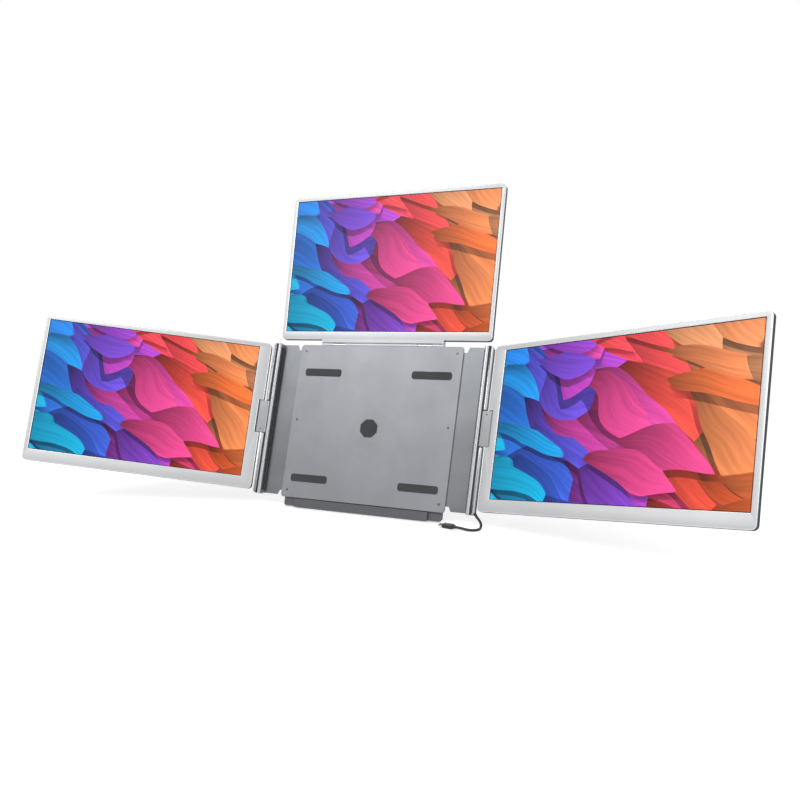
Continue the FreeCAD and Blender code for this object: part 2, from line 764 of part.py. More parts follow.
def make_rear_cover():
    """The moulded cover behind the centre plate, with slide posts, kickstand recess and socket openings."""
    low = -18.0
    outer = slab(-cover_half_width, cover_half_width, low, cover_top, cover_front, cover_back, cover_corner)
    outer = outer.cut(desk_cutter())
    bar_half = foot_strip_length / 2 + 4
    bar = slab(-bar_half, bar_half, low, foot_bar_top, plate_front, cover_front + 3, 0).cut(desk_cutter())
    outer = joined([outer, bar])
    outer = bevelled(outer, cover_bevel, lambda e: edge_lies_at(e, "Y", cover_back) and e.BoundBox.ZMax > 60)

    floor = cover_back - cover_wall
    inner = cover_half_width - cover_wall
    recess_half = leg_half_width + 1.0
    recess_floor = cover_back - leg_back_gap - leg_depth / 2 - leg_foot_radius - 0.4
    barrel_room = leg_barrel_radius + 0.5
    recess_top = leg_pivot_height + barrel_room
    solid_low, solid_high = leg_pivot_height - barrel_room - 5, recess_top + 5
    side_wall = recess_half + leg_pin_grip + 3
    hollows = [
        box(-inner, inner, cover_front, floor, solid_high, cover_top - cover_wall),
        box(-inner, -side_wall, cover_front, floor, foot_bar_top + 5, solid_high),
        box(side_wall, inner, cover_front, floor, foot_bar_top + 5, solid_high),
        box(-side_wall, side_wall, cover_front, recess_floor - cover_wall, foot_bar_top + 5, solid_low),
    ]
    body = outer.cut(Part.makeCompound(hollows[:1])).cut(Part.makeCompound(hollows[1:]))
    recess = joined([
        slab(-recess_half, recess_half, low - 20, leg_pivot_height, recess_floor, cover_back + 1),
        rod("x", (leg_pivot_depth, leg_pivot_height), barrel_room, -recess_half, recess_half),
        box(-recess_half, recess_half, leg_pivot_depth, cover_back + 1, leg_pivot_height, recess_top),
    ])
    body = body.cut(recess)

    added = []
    half = slot_post_half
    for x, z in slot_posts():
        added.append(clipped(x - half, x + half, z - half, z + half, plate_back, floor, slot_post_clip))
    for x in (-knuckle_centre, knuckle_centre):
        added.append(box(
            x - bracket_leg_width / 2 - 3, x + bracket_leg_width / 2 + 3,
            bracket_leg_back(), floor, cover_top - bracket_leg_reach + 8, cover_top - cover_wall,
        ))
    half = main_board_post_width / 2
    for x, z in main_board_posts():
        added.append(box(x - half, x + half, main_board_back(), floor, z - half, z + half))
    rim_half = slide_plate_inner - slide_travel - 2
    added.append(box(-rim_half, rim_half, plate_back, cover_front, cover_top - 9, cover_top - 1))
    body = joined([body] + added)

    holes = [rod("x", (leg_pivot_depth, leg_pivot_height), leg_pin_radius + running_gap,
                 -recess_half - leg_pin_grip - 0.5, recess_half + leg_pin_grip + 0.5)]
    half, low = bracket_leg_width / 2 + 0.2, cover_top - bracket_leg_reach
    for x in (-knuckle_centre, knuckle_centre):
        holes.append(box(x - half, x + half, cover_front - 1, bracket_leg_back(), low, cover_top + 1))
    front, half = main_board_front(), socket_width / 2 + 0.1
    back_of_socket = front - socket_depth - 0.1
    for z in main_board_sockets():
        holes.append(box(inner - 0.1, cover_half_width + 1, back_of_socket, front + 0.05, z - half, z + half))
    high, half = cover_top - cover_vent_below_top, cover_vent_width / 2
    for i in range(cover_vent_count):
        x = (i - (cover_vent_count - 1) / 2) * cover_vent_pitch
        holes.append(box(x - half, x + half, floor - 1, cover_back + 1, high - cover_vent_length, high))
    return body.cut(Part.makeCompound(holes))


def bracket_leg_back():
    return top_axis_back + bracket_leg_depth / 2


def main_board_back():
    return cover_back - cover_wall - main_board_gap


def main_board_front():
    return main_board_back() - main_board_depth


def main_board_heights():
    return leg_pivot_height + main_board_above_pivot, cover_top - main_board_below_top


def main_board_posts():
    low, high = main_board_heights()
    return [(x, z) for x in main_board_post_x for z in (low + main_board_post_low, high - main_board_post_high)]


def main_board_sockets():
    low, high = main_board_heights()
    middle, pitch = (low + high) / 2 + socket_depth, (high - low) * main_socket_spread
    return (middle - pitch, middle, middle + pitch)


def make_main_board():
    """The hub board: three sockets that open through the cover's right wall, chips and coils."""
    front, back = main_board_front(), main_board_back()
    right = cover_half_width - cover_wall - 0.1
    low, high = main_board_heights()
    pieces = [box(main_board_left, right, front, back, low, high)]
    end, half = cover_half_width - 0.4, socket_width / 2
    for z in main_board_sockets():
        socket = box(end - socket_length, end, front - socket_depth, front, z - half, z + half)
        mouth = box(
            end - socket_length + 1.0, end, front - socket_depth + socket_sheet, front - socket_sheet,
            z - half + socket_sheet, z + half - socket_sheet,
        )
        middle = front - socket_depth / 2
        blade = box(end - socket_length, end - 1, middle - 0.35, middle + 0.35, z - blade_half, z + blade_half)
        pieces += [socket.cut(mouth), blade]
    for x, share, size, deep in main_chips:
        z = low + share * (high - low)
        pieces.append(box(x, x + size, front - deep, front, z, z + size))
    return joined(pieces)


def make_top_brackets():
    """A knuckle round the axis and a leg that is screwed to its seat inside the cover."""
    brackets = []
    axis, half = (top_axis_back, top_axis_height), knuckle_width / 2
    for x in (-knuckle_centre, knuckle_centre):
        knuckle = rod("x", axis, knuckle_radius, x - half, x + half)
        leg = box(
            x - bracket_leg_width / 2, x + bracket_leg_width / 2,
            bracket_leg_back() - bracket_leg_depth, bracket_leg_back(),
            cover_top - bracket_leg_reach + 10, top_axis_height,
        )
        body = joined([knuckle, leg])
        brackets.append(body.cut(rod("x", axis, top_pin_radius + running_gap, x - half, x + half)))
    return brackets


def make_top_pins():
    reach = knuckle_width / 2 + top_pin_grip
    axis = (top_axis_depth, -top_axis_drop)
    middles = (top_width / 2 - knuckle_centre, top_width / 2 + knuckle_centre)
    return [rod("x", axis, top_pin_radius, x - reach, x + reach) for x in middles]


def leg_foot_reach():
    """From the pivot to the rubber foot's centre, so that the foot stands on the desk."""
    tilt = radians(recline)
    pivot_up = leg_pivot_height * cos(tilt) - leg_pivot_depth * sin(tilt) + lid_line_height
    offset = leg_plate_middle() * sin(radians(kickstand_lean))
    return (pivot_up + offset - leg_foot_radius) / cos(radians(kickstand_lean))


def leg_plate_middle():
    return cover_back - leg_back_gap - leg_depth / 2 - leg_pivot_depth


def leg_place(shape):
    """The leg is drawn shut against the cover, with its pivot at the origin, and opened to its lean."""
    placed = shape.copy()
    placed.rotate(Vector(0, 0, 0), Vector(1, 0, 0), recline + kickstand_lean)
    placed.translate(Vector(0, leg_pivot_depth, leg_pivot_height))
    return in_frame(placed)


def make_kickstand():
    middle, reach = leg_plate_middle(), leg_foot_reach()
    y0, y1 = middle - leg_depth / 2, middle + leg_depth / 2
    end = -reach - leg_foot_radius + 1.6
    left, right = -leg_half_width, leg_half_width
    plate = prism([(left, 0), (left, end, leg_corner), (right, end, leg_corner), (right, 0)], "y", y0, y1)
    half = leg_half_width - leg_rim
    pan = clipped(-half, half, end + 14, -14, y0, y0 + leg_depth * 0.55, 4.0)
    barrel = rod("x", (0, 0), leg_barrel_radius, -leg_half_width, leg_half_width)
    ribs = [box(x - 0.8, x + 0.8, y0, y0 + leg_depth * 0.55, end + 14, -14) for x in (-34.0, 0.0, 34.0)]
    leg = joined([plate, barrel]).cut(pan)
    leg = joined([leg] + ribs)
    bore = rod("x", (0, 0), leg_pin_radius, -leg_half_width, leg_half_width)
    foot_half = leg_foot_length / 2
    foot = rod("x", (middle, -reach), leg_foot_radius, -foot_half, foot_half)
    foot_room = rod("x", (middle, -reach), leg_foot_radius, -foot_half, foot_half)
    core = box(-foot_half, foot_half, y0 + 0.9, y1 - 0.9, -reach - 0.8, -reach + leg_foot_radius)
    leg = joined([leg.cut(foot_room), core]).cut(bore)
    pin_reach = leg_half_width + 1.0 + leg_pin_grip
    pin = rod("x", (0, 0), leg_pin_radius, -pin_reach, pin_reach)
    keep("kickstand_leg", leg_place(leg))
    keep("kickstand_foot", leg_place(foot.cut(core)))
    keep("kickstand_pin", leg_place(pin))


def make_foot_strip():
    half = foot_strip_length / 2
    strip = box(-half, half, -foot_strip_width / 2, foot_strip_width / 2, 0, foot_strip_depth)
    return bevelled(strip, 0.5, lambda e: edge_lies_at(e, "Z", 0))


def make_frame():
    keep("centre_plate", in_frame(make_centre_plate()))
    keep("lid_pads", *[in_frame(s) for s in make_lid_pads()])
    keep("rear_cover", in_frame(make_rear_cover()))
    keep("main_board", in_frame(make_main_board()))
    keep("foot_strip", make_foot_strip())
    keep("top_hinge_brackets", *[in_frame(s) for s in make_top_brackets()])
    keep("top_hinge_pins", *[top_place(s) for s in make_top_pins()])


def polygon_ring(centre, along, radius):
    """A closed ring of straight sides round `centre`, square to the direction `along`."""
    spoke = along.cross(Vector(0, 0, 1)).normalize() * radius
    turn = FreeCAD.Rotation(along, 360 / cable_sides)
    points = [centre + spoke]
    for _ in range(cable_sides):
        spoke = turn.multVec(spoke)
        points.append(centre + spoke)
    return Part.makePolygon(points)


def sleeve(start, radius_at_start, end, radius_at_end):
    """A tapered sleeve with flat sides, like the cable's own."""
    along = (end - start).normalize()
    rings = [polygon_ring(start, along, radius_at_start), polygon_ring(end, along, radius_at_end)]
    return Part.makeLoft(rings, True, True)


def cable_path():
    """Straight runs joined by tangent arcs, each as large as its two runs allow."""
    points = cable_route
    edges, here = [], points[0]
    for before, at, after in zip(points, points[1:], points[2:]):
        into, out = (at - before).normalize(), (after - at).normalize()
        turn = into.getAngle(out)
        shorter = min((at - before).Length, (after - at).Length)
        reach = 0.45 * shorter
        radius = reach / tan(turn / 2)
        arc_start, arc_end = at - into * reach, at + out * reach
        inward = (out - into).normalize()
        middle = at + inward * (radius / cos(turn / 2) - radius)
        edges.append(Part.LineSegment(here, arc_start).toShape())
        edges.append(Part.Arc(arc_start, middle, arc_end).toShape())
        here = arc_end
        print(f"cable turn {degrees(turn):5.1f} degrees, radius {radius:5.1f} mm")
    edges.append(Part.LineSegment(here, points[-1]).toShape())
    return Part.Wire(edges)


def make_cable():
    path = cable_path()
    start, first = cable_route[0], (cable_route[1] - cable_route[0]).normalize()
    ring = polygon_ring(start, first, cable_radius)
    tube = path.makePipeShell([ring], True, False)
    even = Part.Face(ring).Area * path.Length
    print(f"cable {path.Length:.1f} mm long, its volume over section times length {tube.Volume / even:.4f}")
    keep("usb_cable", tube)

    boot = sleeve(gland_start, gland_radius, start, cable_radius + 0.35)
    rail = in_frame(Part.makeCompound([make_rail_body()] + make_strips()))
    keep("cable_gland", boot.cut(rail).Solids[0])

    end = cable_route[-1]
    heading = (end - cable_route[-2]).normalize()
    level = Vector(heading.x, heading.y, 0).normalize()
    turn = degrees(acos(max(-1.0, min(1.0, level.dot(Vector(-1, 0, 0))))))

    def place_plug(shape):
        placed = shape.copy()
        placed.rotate(Vector(0, 0, 0), Vector(0, 0, 1), turn if level.y < 0 else -turn)
        placed.translate(Vector(end.x, end.y, plug_depth / 2 + 0.1))
        return placed

    neck = sleeve(Vector(0, 0, 0), cable_radius + 0.5, Vector(-plug_neck, 0, 0), cable_radius + 1.1)
    half_width, half_depth = plug_width / 2, plug_depth / 2
    body = prism(
        [(-half_width, -half_depth, 2.2), (half_width, -half_depth, 2.2),
         (half_width, half_depth, 2.2), (-half_width, half_depth, 2.2)],
        "x", -plug_length, -plug_neck,
    )
    tip = prism(
        [(-plug_tip_width / 2, -plug_tip_depth / 2, 1.2), (plug_tip_width / 2, -plug_tip_depth / 2, 1.2),
         (plug_tip_width / 2, plug_tip_depth / 2, 1.2), (-plug_tip_width / 2, plug_tip_depth / 2, 1.2)],
        "x", -plug_length - plug_tip_length, -plug_length,
    )
    half_width, half_depth = plug_tip_width / 2 - 1.0, plug_tip_depth / 2 - socket_sheet
    mouth = -plug_length - plug_tip_length
    hollow = box(mouth - 1, -plug_length - 1.0, -half_width, half_width, -half_depth, half_depth)
    keep("usb_plug_body", place_plug(joined([body, neck])))
    keep("usb_plug_tip", place_plug(tip.cut(hollow)))


side_screen = Screen(side_margin_inner, side_margin_outer, side_margin_top, side_margin_bottom, True, False)
top_screen = Screen(top_margin_side, top_margin_side, top_margin_top, top_margin_bottom, False, True)

make_frame()
make_kickstand()
make_rails()
make_hinges()
make_screen("left", side_screen)
make_screen("right", side_screen)
make_screen("top", top_screen)
make_cable()
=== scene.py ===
# %% [markdown]
# # Three screens on a folding frame
# Three flat screens hang on a sliding frame with a leg. One screen swings out on each side, one stands above. The
# frame, its joints and its sizes come from the exact model. This lesson gives it its looks: fine metal bezels, a
# bright picture on each display, a soft cable, small screws, light and a camera.
#
# Everything is in metres. A piece is drawn flat in the millimetres of the part that carries it, then put in place.

from math import cos, hypot, pi, radians, sin, sqrt

import bmesh
import bpy
from mathutils import Matrix, Vector
from mathutils.geometry import tessellate_polygon


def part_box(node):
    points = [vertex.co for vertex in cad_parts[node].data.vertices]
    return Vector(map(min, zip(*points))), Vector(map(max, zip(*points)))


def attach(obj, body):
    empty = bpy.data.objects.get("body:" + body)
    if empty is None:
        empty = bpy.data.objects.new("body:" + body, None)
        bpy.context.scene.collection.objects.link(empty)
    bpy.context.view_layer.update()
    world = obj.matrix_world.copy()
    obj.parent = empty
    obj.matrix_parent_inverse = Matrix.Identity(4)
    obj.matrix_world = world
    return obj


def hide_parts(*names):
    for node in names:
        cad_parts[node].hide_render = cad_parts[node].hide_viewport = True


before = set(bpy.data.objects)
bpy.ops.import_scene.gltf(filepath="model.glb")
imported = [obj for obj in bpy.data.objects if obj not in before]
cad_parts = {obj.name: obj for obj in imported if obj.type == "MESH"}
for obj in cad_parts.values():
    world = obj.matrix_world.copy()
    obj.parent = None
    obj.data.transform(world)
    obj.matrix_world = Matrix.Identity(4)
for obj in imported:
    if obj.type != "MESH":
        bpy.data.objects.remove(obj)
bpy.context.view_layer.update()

# %% [markdown]
# ## Sizes that the looks need
# The exact model is built from named sizes. The few that the fine pieces repeat are written here once, in
# millimetres, so that a piece of the looks lands on the piece that carries it.

# %% Sizes of the screens
DISPLAY_WIDTH, DISPLAY_HEIGHT = 344.7, 215.4
SIDE_LEFT, SIDE_RIGHT, SIDE_TOP, SIDE_BOTTOM = 19.0, 7.0, 7.0, 18.5
TOP_SIDE, TOP_TOP, TOP_BOTTOM = 6.0, 6.0, 13.0
SCREEN_DEPTH, SCREEN_CORNER, BEZEL_DEPTH = 12.0, 6.0, 2.5
SIDE_WIDTH = SIDE_LEFT + DISPLAY_WIDTH + SIDE_RIGHT
SIDE_HEIGHT = SIDE_BOTTOM + DISPLAY_HEIGHT + SIDE_TOP
TOP_WIDTH = DISPLAY_WIDTH + 2 * TOP_SIDE
TOP_HEIGHT = TOP_BOTTOM + DISPLAY_HEIGHT + TOP_TOP
screen_sizes = {
    "left": (SIDE_WIDTH, SIDE_HEIGHT), "right": (SIDE_WIDTH, SIDE_HEIGHT), "top": (TOP_WIDTH, TOP_HEIGHT)
}
display_corners = {
    "left": (SIDE_LEFT, SIDE_BOTTOM), "right": (SIDE_LEFT, SIDE_BOTTOM), "top": (TOP_SIDE, TOP_BOTTOM)
}
print(f"side screens {SIDE_WIDTH:.1f} x {SIDE_HEIGHT:.1f} mm, top screen {TOP_WIDTH:.1f} x {TOP_HEIGHT:.1f} mm")

# %% Sizes of the frame and its hinges
RECLINE, SIDE_SWING, TOP_TILT = 19.5, 22.6, 5.0
PLATE_FOOT_HEIGHT, PLATE_FOOT_BACK = 15.5, 10.0
RAIL_OUTER, RAIL_FRONT, RAIL_LOW, RAIL_HIGH, STRIP_WIDTH = 185.5, -4.0, 3.0, 251.2, 5.0
HINGE_HEIGHT, BLOCK_LENGTH, BLOCK_DEPTH, BLOCK_CORNER = 128.0, 52.0, 8.0, 3.2
PIVOT_PITCH, PIVOT_INSET, PIVOT_DEPTH, SWING_GAP = 10.0, 2.5, 4.5, 0.6
SCREEN_FOOT = HINGE_HEIGHT - SIDE_HEIGHT / 2 + 0.8
block_flat = BLOCK_DEPTH / 2 - BLOCK_CORNER
NOTCH_DEPTH = PIVOT_INSET + hypot(block_flat, block_flat) + BLOCK_CORNER + SWING_GAP
NOTCH_LOW = HINGE_HEIGHT - BLOCK_LENGTH / 2 - SWING_GAP - SCREEN_FOOT
NOTCH_HIGH = HINGE_HEIGHT + BLOCK_LENGTH / 2 + SWING_GAP - SCREEN_FOOT
TOP_AXIS_BACK, TOP_AXIS_HEIGHT, TOP_AXIS_DROP, TOP_AXIS_DEPTH, BARREL_RADIUS = 13.6, 253.6, 8.0, 6.5, 5.0
TONGUE_WIDTH = 0.58 * TOP_WIDTH
TONGUE_SKIN = TOP_AXIS_DROP - sqrt(BARREL_RADIUS ** 2 - (TOP_AXIS_DEPTH - BEZEL_DEPTH) ** 2) - 0.1
COVER_BACK, COVER_TOP, COVER_HALF_WIDTH = 22.0, 244.0, 132.0
print(f"hinge notch {NOTCH_DEPTH:.2f} mm deep, {NOTCH_LOW:.2f} to {NOTCH_HIGH:.2f} mm up the screen")

# %% [markdown]
# ## Putting a flat drawing in its place
# Each screen leans, swings and tilts. It could be drawn in its final place, but that makes every number hard to
# read. Drawn flat and then turned by one matrix, a hole 12 mm up the screen stays the number 12.

# %% Places of the frame and the three screens
MM = Matrix.Scale(0.001, 4)


def turn(degrees, axis):
    return Matrix.Rotation(radians(degrees), 4, axis)


def move(x, y, z):
    return Matrix.Translation(Vector((x, y, z)))


frame_place = MM @ move(0, -PLATE_FOOT_BACK, PLATE_FOOT_HEIGHT) @ turn(-RECLINE, "X")
pin_x = RAIL_OUTER - PIVOT_INSET + PIVOT_PITCH * cos(radians(SIDE_SWING / 2))
pin_y = RAIL_FRONT + PIVOT_DEPTH - PIVOT_PITCH * sin(radians(SIDE_SWING / 2))
screen_pin = frame_place @ move(pin_x, pin_y, SCREEN_FOOT)
right_place = screen_pin @ turn(-SIDE_SWING, "Z") @ move(-PIVOT_INSET, -PIVOT_DEPTH, 0)
MIRROR = Matrix.Scale(-1, 4, Vector((1, 0, 0)))
left_place = MIRROR @ right_place
top_axis = frame_place @ move(0, TOP_AXIS_BACK, TOP_AXIS_HEIGHT)
top_place = top_axis @ turn(TOP_TILT, "X") @ move(-TOP_WIDTH / 2, -TOP_AXIS_DEPTH, TOP_AXIS_DROP)
places = {"left": left_place, "right": right_place, "top": top_place}
for side, place in places.items():
    box = [[round(c, 3) for c in corner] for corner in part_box(side + "_bezel")]
    print(side, "screen starts at", [round(c, 4) for c in place @ Vector((0, 0, 0))], "bezel box", box)

# %% [markdown]
# ## The camera first
# The photograph was taken from a little right of the middle, at about the height of the frame's upper edge, with
# a fairly wide lens. The place and lens below were worked out from the corners of the three displays. The lens
# shift keeps upright edges as they are in the picture.

# %% Camera
camera_data = bpy.data.cameras.new("view")
camera_data.lens, camera_data.sensor_width = 31.88, 36.0
camera_data.shift_x, camera_data.shift_y = 0.0, 0.105
camera_data.clip_start, camera_data.clip_end = 0.05, 50
camera = bpy.data.objects.new("view", camera_data)
camera.location = (0.4573, -0.9484, 0.2844)
looking = Vector((-0.37124, 0.90186, -0.22097))
camera.rotation_euler = looking.to_track_quat("-Z", "Y").to_euler()
bpy.context.scene.collection.objects.link(camera)
bpy.context.scene.camera = camera
bpy.context.scene.view_settings.view_transform = "Standard"
print("camera", [round(c, 3) for c in camera.location], "lens", camera_data.lens)

# %% [markdown]
# ## Floor, backdrop and light
# The object stands on plain white. A strong lamp would whiten the floor but also wash out the silver. So the floor
# and the world are plain pale, the lamps stay soft, and only what the camera sees of the floor is lifted to white.

# %% A small node helper
def node(tree, kind, **values):
    """Adds a node. A name that is one of its sockets sets that socket, any other sets a property."""
    made = tree.nodes.new(kind)
    for name, value in values.items():
        label = name.replace("_", " ")
        sockets = {s.name: s for s in made.inputs}
        found = sockets.get(label) or sockets.get(label.title())
        if found is not None and not hasattr(made, name):
            found.default_value = value
        else:
            setattr(made, name, value)
    return made


def link(tree, start, end):
    tree.links.new(start, end)


def empty_material(name):
    material = bpy.data.materials.new(name)
    material.use_nodes = True
    material.node_tree.nodes.clear()
    return material, material.node_tree


def srgb(code):
    """A colour as it is written for the web, turned to the linear numbers that Blender's nodes use."""
    values = [int(code[i:i + 2], 16) / 255 for i in (0, 2, 4)]
    linear = [v / 12.92 if v <= 0.04045 else ((v + 0.055) / 1.055) ** 2.4 for v in values]
    return (*linear, 1.0)


# %% Sums in a node tree
def feed(tree, socket, value):
    """Sets a socket to a plain value, or links it to the output that is given."""
    if isinstance(value, bpy.types.NodeSocket):
        link(tree, value, socket)
    else:
        socket.default_value = value


def maths(tree, operation, *values):
    made = node(tree, "ShaderNodeMath", operation=operation)
    for socket, value in zip(made.inputs, values):
        feed(tree, socket, value)
    return made.outputs[0]


def vector_maths(tree, operation, *values):
    made = node(tree, "ShaderNodeVectorMath", operation=operation)
    sockets = (made.inputs[0], made.inputs["Scale"]) if operation == "SCALE" else made.inputs
    for socket, value in zip(sockets, values):
        feed(tree, socket, value)
    return made.outputs["Value" if operation in ("LENGTH", "DOT_PRODUCT") else "Vector"]


def map_range(tree, given, before, after, kind="LINEAR"):
    """Turns the range before, a pair, into the range after."""
    made = node(tree, "ShaderNodeMapRange", interpolation_type=kind)
    for name, value in zip(("From Min", "From Max", "To Min", "To Max"), (*before, *after)):
        made.inputs[name].default_value = value
    link(tree, given, made.inputs["Value"])
    return made.outputs["Result"]


# %% World light
WORLD_LIGHT, WORLD_SEEN, WORLD_MIRRORED = 0.6, 1.0, 0.8
world = bpy.data.worlds.new("studio")
world.use_nodes = True
tree = world.node_tree
tree.nodes.clear()
rays = node(tree, "ShaderNodeLightPath")
seen = maths(tree, "MAXIMUM", rays.outputs["Is Camera Ray"], rays.outputs["Is Transmission Ray"])
plain = maths(tree, "MULTIPLY_ADD", seen, WORLD_SEEN - WORLD_LIGHT, WORLD_LIGHT)
strength = maths(tree, "MULTIPLY_ADD", rays.outputs["Is Glossy Ray"], WORLD_MIRRORED - WORLD_LIGHT, plain)
sky = node(tree, "ShaderNodeBackground")
sky.inputs["Color"].default_value = (1, 1, 1, 1)
link(tree, strength, sky.inputs["Strength"])
link(tree, sky.outputs[0], node(tree, "ShaderNodeOutputWorld").inputs["Surface"])
bpy.context.scene.world = world
print("world light", WORLD_LIGHT, "seen", WORLD_SEEN, "mirrored", WORLD_MIRRORED)


# %% Lamps
def soft_lamp(name, at, towards, size, power):
    data = bpy.data.lights.new(name, "AREA")
    data.shape, data.size, data.energy = "DISK", size, power
    lamp = bpy.data.objects.new(name, data)
    lamp.location = at
    lamp.rotation_euler = (Vector(towards) - Vector(at)).to_track_quat("-Z", "Y").to_euler()
    bpy.context.scene.collection.objects.link(lamp)
    return lamp


soft_lamp("key", (-1.2, -2.0, 2.4), (0, 0, 0.2), 1.8, 34)
soft_lamp("fill", (2.4, -1.4, 1.4), (0.2, 0, 0.2), 1.6, 10)
soft_lamp("back", (0.5, 2.6, 1.9), (0, 0, 0.2), 2.0, 44)
print("three soft lamps")

# %% Floor
FLOOR_HALF, FLOOR_FADE, FLOOR_LIFT = 9, (0.55, 1.5), 0.36
corners = [(x * FLOOR_HALF, y * FLOOR_HALF, 0) for x, y in ((-1, -1), (1, -1), (1, 1), (-1, 1))]
floor_mesh = bpy.data.meshes.new("floor")
floor_mesh.from_pydata(corners, [], [(0, 1, 2, 3)])
floor = bpy.data.objects.new("floor", floor_mesh)
bpy.context.scene.collection.objects.link(floor)
floor_paint, tree = empty_material("floor paint")
reach = vector_maths(tree, "LENGTH", node(tree, "ShaderNodeTexCoord").outputs["Object"])
far = map_range(tree, reach, FLOOR_FADE, (0.0, 1.0), "SMOOTHSTEP")
camera_ray = node(tree, "ShaderNodeLightPath").outputs["Is Camera Ray"]
near_floor = node(tree, "ShaderNodeBsdfDiffuse")
near_floor.inputs["Color"].default_value = (0.9, 0.9, 0.9, 1)
lift = node(tree, "ShaderNodeEmission")
link(tree, maths(tree, "MULTIPLY", camera_ray, FLOOR_LIFT), lift.inputs["Strength"])
lifted = node(tree, "ShaderNodeAddShader")
link(tree, near_floor.outputs[0], lifted.inputs[0])
link(tree, lift.outputs[0], lifted.inputs[1])
pure = node(tree, "ShaderNodeEmission")
faded = node(tree, "ShaderNodeMixShader")
sources = (maths(tree, "MULTIPLY", camera_ray, far), lifted.outputs[0], pure.outputs[0])
for socket, given in zip(faded.inputs, sources):
    link(tree, given, socket)
link(tree, faded.outputs[0], node(tree, "ShaderNodeOutputMaterial").inputs["Surface"])
floor_mesh.materials.append(floor_paint)
print("floor", tuple(round(v, 2) for v in floor.dimensions))

# %% [markdown]
# ## Finishes
# A maker would name these by what they are: satin silver, grained grey plastic, rubber. One flat colour looks like
# paint on a screen, because real surfaces change a little from place to place. Each finish below mixes two nearby
# tones by a slow noise, varies its gloss in the same way, and has a fine grain in its bump. The grain's size is in
# millimetres, because a grain of the wrong size makes a thing look like a toy.

# %% A finish with slow tone changes and a fine grain
def finish(
    name, dark, light, gloss, metal=0.0, grain_mm=0.4, grain_height=0.02, stretch=(1, 1, 1), coat=0.0, mirror=0.5
):
    """gloss is a pair of roughness values; stretch makes the grain longer along an axis, as brushing does.
    A low mirror keeps a dark matt wall dark when it is seen almost edge on."""
    material, tree = empty_material(name)
    place = node(tree, "ShaderNodeTexCoord")
    slow = node(tree, "ShaderNodeTexNoise", Scale=14.0, Detail=3.0, Roughness=0.55)
    link(tree, place.outputs["Object"], slow.inputs["Vector"])
    tones = node(tree, "ShaderNodeValToRGB")
    tones.color_ramp.elements[0].position, tones.color_ramp.elements[1].position = 0.3, 0.7
    tones.color_ramp.elements[0].color, tones.color_ramp.elements[1].color = srgb(dark), srgb(light)
    link(tree, slow.outputs["Fac"], tones.inputs["Fac"])
    fine_place = node(tree, "ShaderNodeMapping")
    fine_place.inputs["Scale"].default_value = tuple(1 / s for s in stretch)
    link(tree, place.outputs["Object"], fine_place.inputs["Vector"])
    fine = node(tree, "ShaderNodeTexNoise", Scale=1000 / grain_mm, Detail=2.0, Roughness=0.6)
    link(tree, fine_place.outputs["Vector"], fine.inputs["Vector"])
    shine = map_range(tree, fine.outputs["Fac"], (0.3, 0.7), gloss)
    bump = node(tree, "ShaderNodeBump", Strength=0.35)
    bump.inputs["Distance"].default_value = grain_height / 1000
    link(tree, fine.outputs["Fac"], bump.inputs["Height"])
    surface = node(tree, "ShaderNodeBsdfPrincipled")
    surface.inputs["Metallic"].default_value = metal
    surface.inputs["Coat Weight"].default_value = coat
    surface.inputs["Specular IOR Level"].default_value = mirror
    link(tree, tones.outputs["Color"], surface.inputs["Base Color"])
    link(tree, shine, surface.inputs["Roughness"])
    link(tree, bump.outputs["Normal"], surface.inputs["Normal"])
    link(tree, surface.outputs[0], node(tree, "ShaderNodeOutputMaterial").inputs["Surface"])
    return material


# %% The finishes of this object
satin_silver = finish(
    "satin silver", "c6c8ca", "cccecf", (0.43, 0.5), metal=0.4, grain_mm=0.22, grain_height=0.01
)
# The cut edge finish is polished metal in a lighter silver than the satin face; the lighter tone is a painted
# highlight.
cut_edge_and_painted_highlight = finish("cut edge", "e8e9ea", "f0f1f2", (0.14, 0.22), metal=0.9, grain_mm=0.2, grain_height=0.003)
brushed_band = finish(
    "brushed band", "b9babd", "c6c7ca", (0.25, 0.31), metal=0.8, grain_height=0.001, stretch=(1, 40, 40)
)
# Rail grey is the rail's own dark tone, darkened further as painted shade in its grooves and on its side wall.
rail_grey_and_groove_shade = finish("rail grey and groove shade", "35373a", "3c3e41", (0.4, 0.52), metal=0.2, grain_mm=0.3, mirror=0.2)
plate_silver = finish(
    "plate silver", "85878b", "8f9195", (0.36, 0.5), metal=0.6, grain_mm=0.3, stretch=(24, 1, 1)
)
shell_plastic = finish(
    "shell plastic", "404144", "454649", (0.5, 0.62), grain_mm=0.45, grain_height=0.05, mirror=0.12
)
cover_plastic = finish("cover plastic", "55575b", "5d5f63", (0.44, 0.6), grain_mm=0.55, grain_height=0.06)
slide_steel = finish(
    "slide steel", "6f7174", "7b7d80", (0.28, 0.42), metal=0.8, grain_mm=0.3, stretch=(30, 1, 1)
)
pin_steel = finish("pin steel", "a6a8ab", "b6b8bb", (0.16, 0.28), metal=1.0, grain_mm=0.2)
block_metal = finish("block metal", "b2b4b7", "bec0c3", (0.24, 0.34), metal=0.8, grain_mm=0.3)
block_plate = finish(
    "block plate", "a2a3a6", "adaeb1", (0.48, 0.6), metal=0.35, grain_mm=0.25, grain_height=0.008
)
board_green = finish(
    "board green", "1f5a3c", "27684a", (0.3, 0.45), grain_mm=1.2, grain_height=0.03, coat=0.4
)
soft_pad = finish("soft pad", "3a3b3d", "434446", (0.75, 0.9), grain_mm=0.7, grain_height=0.12)
foot_rubber = finish("foot rubber", "26272a", "2f3033", (0.65, 0.82), grain_mm=0.5, grain_height=0.08)
leg_metal = finish("leg metal", "66686c", "696b6f", (0.36, 0.5), metal=0.6, grain_mm=0.35, stretch=(20, 1, 1))
button_plastic = finish("button plastic", "2b2c2f", "343538", (0.34, 0.48), grain_mm=0.3, grain_height=0.02)
cable_skin = finish("cable skin", "27282a", "303133", (0.4, 0.52), grain_mm=0.6, grain_height=0.05)
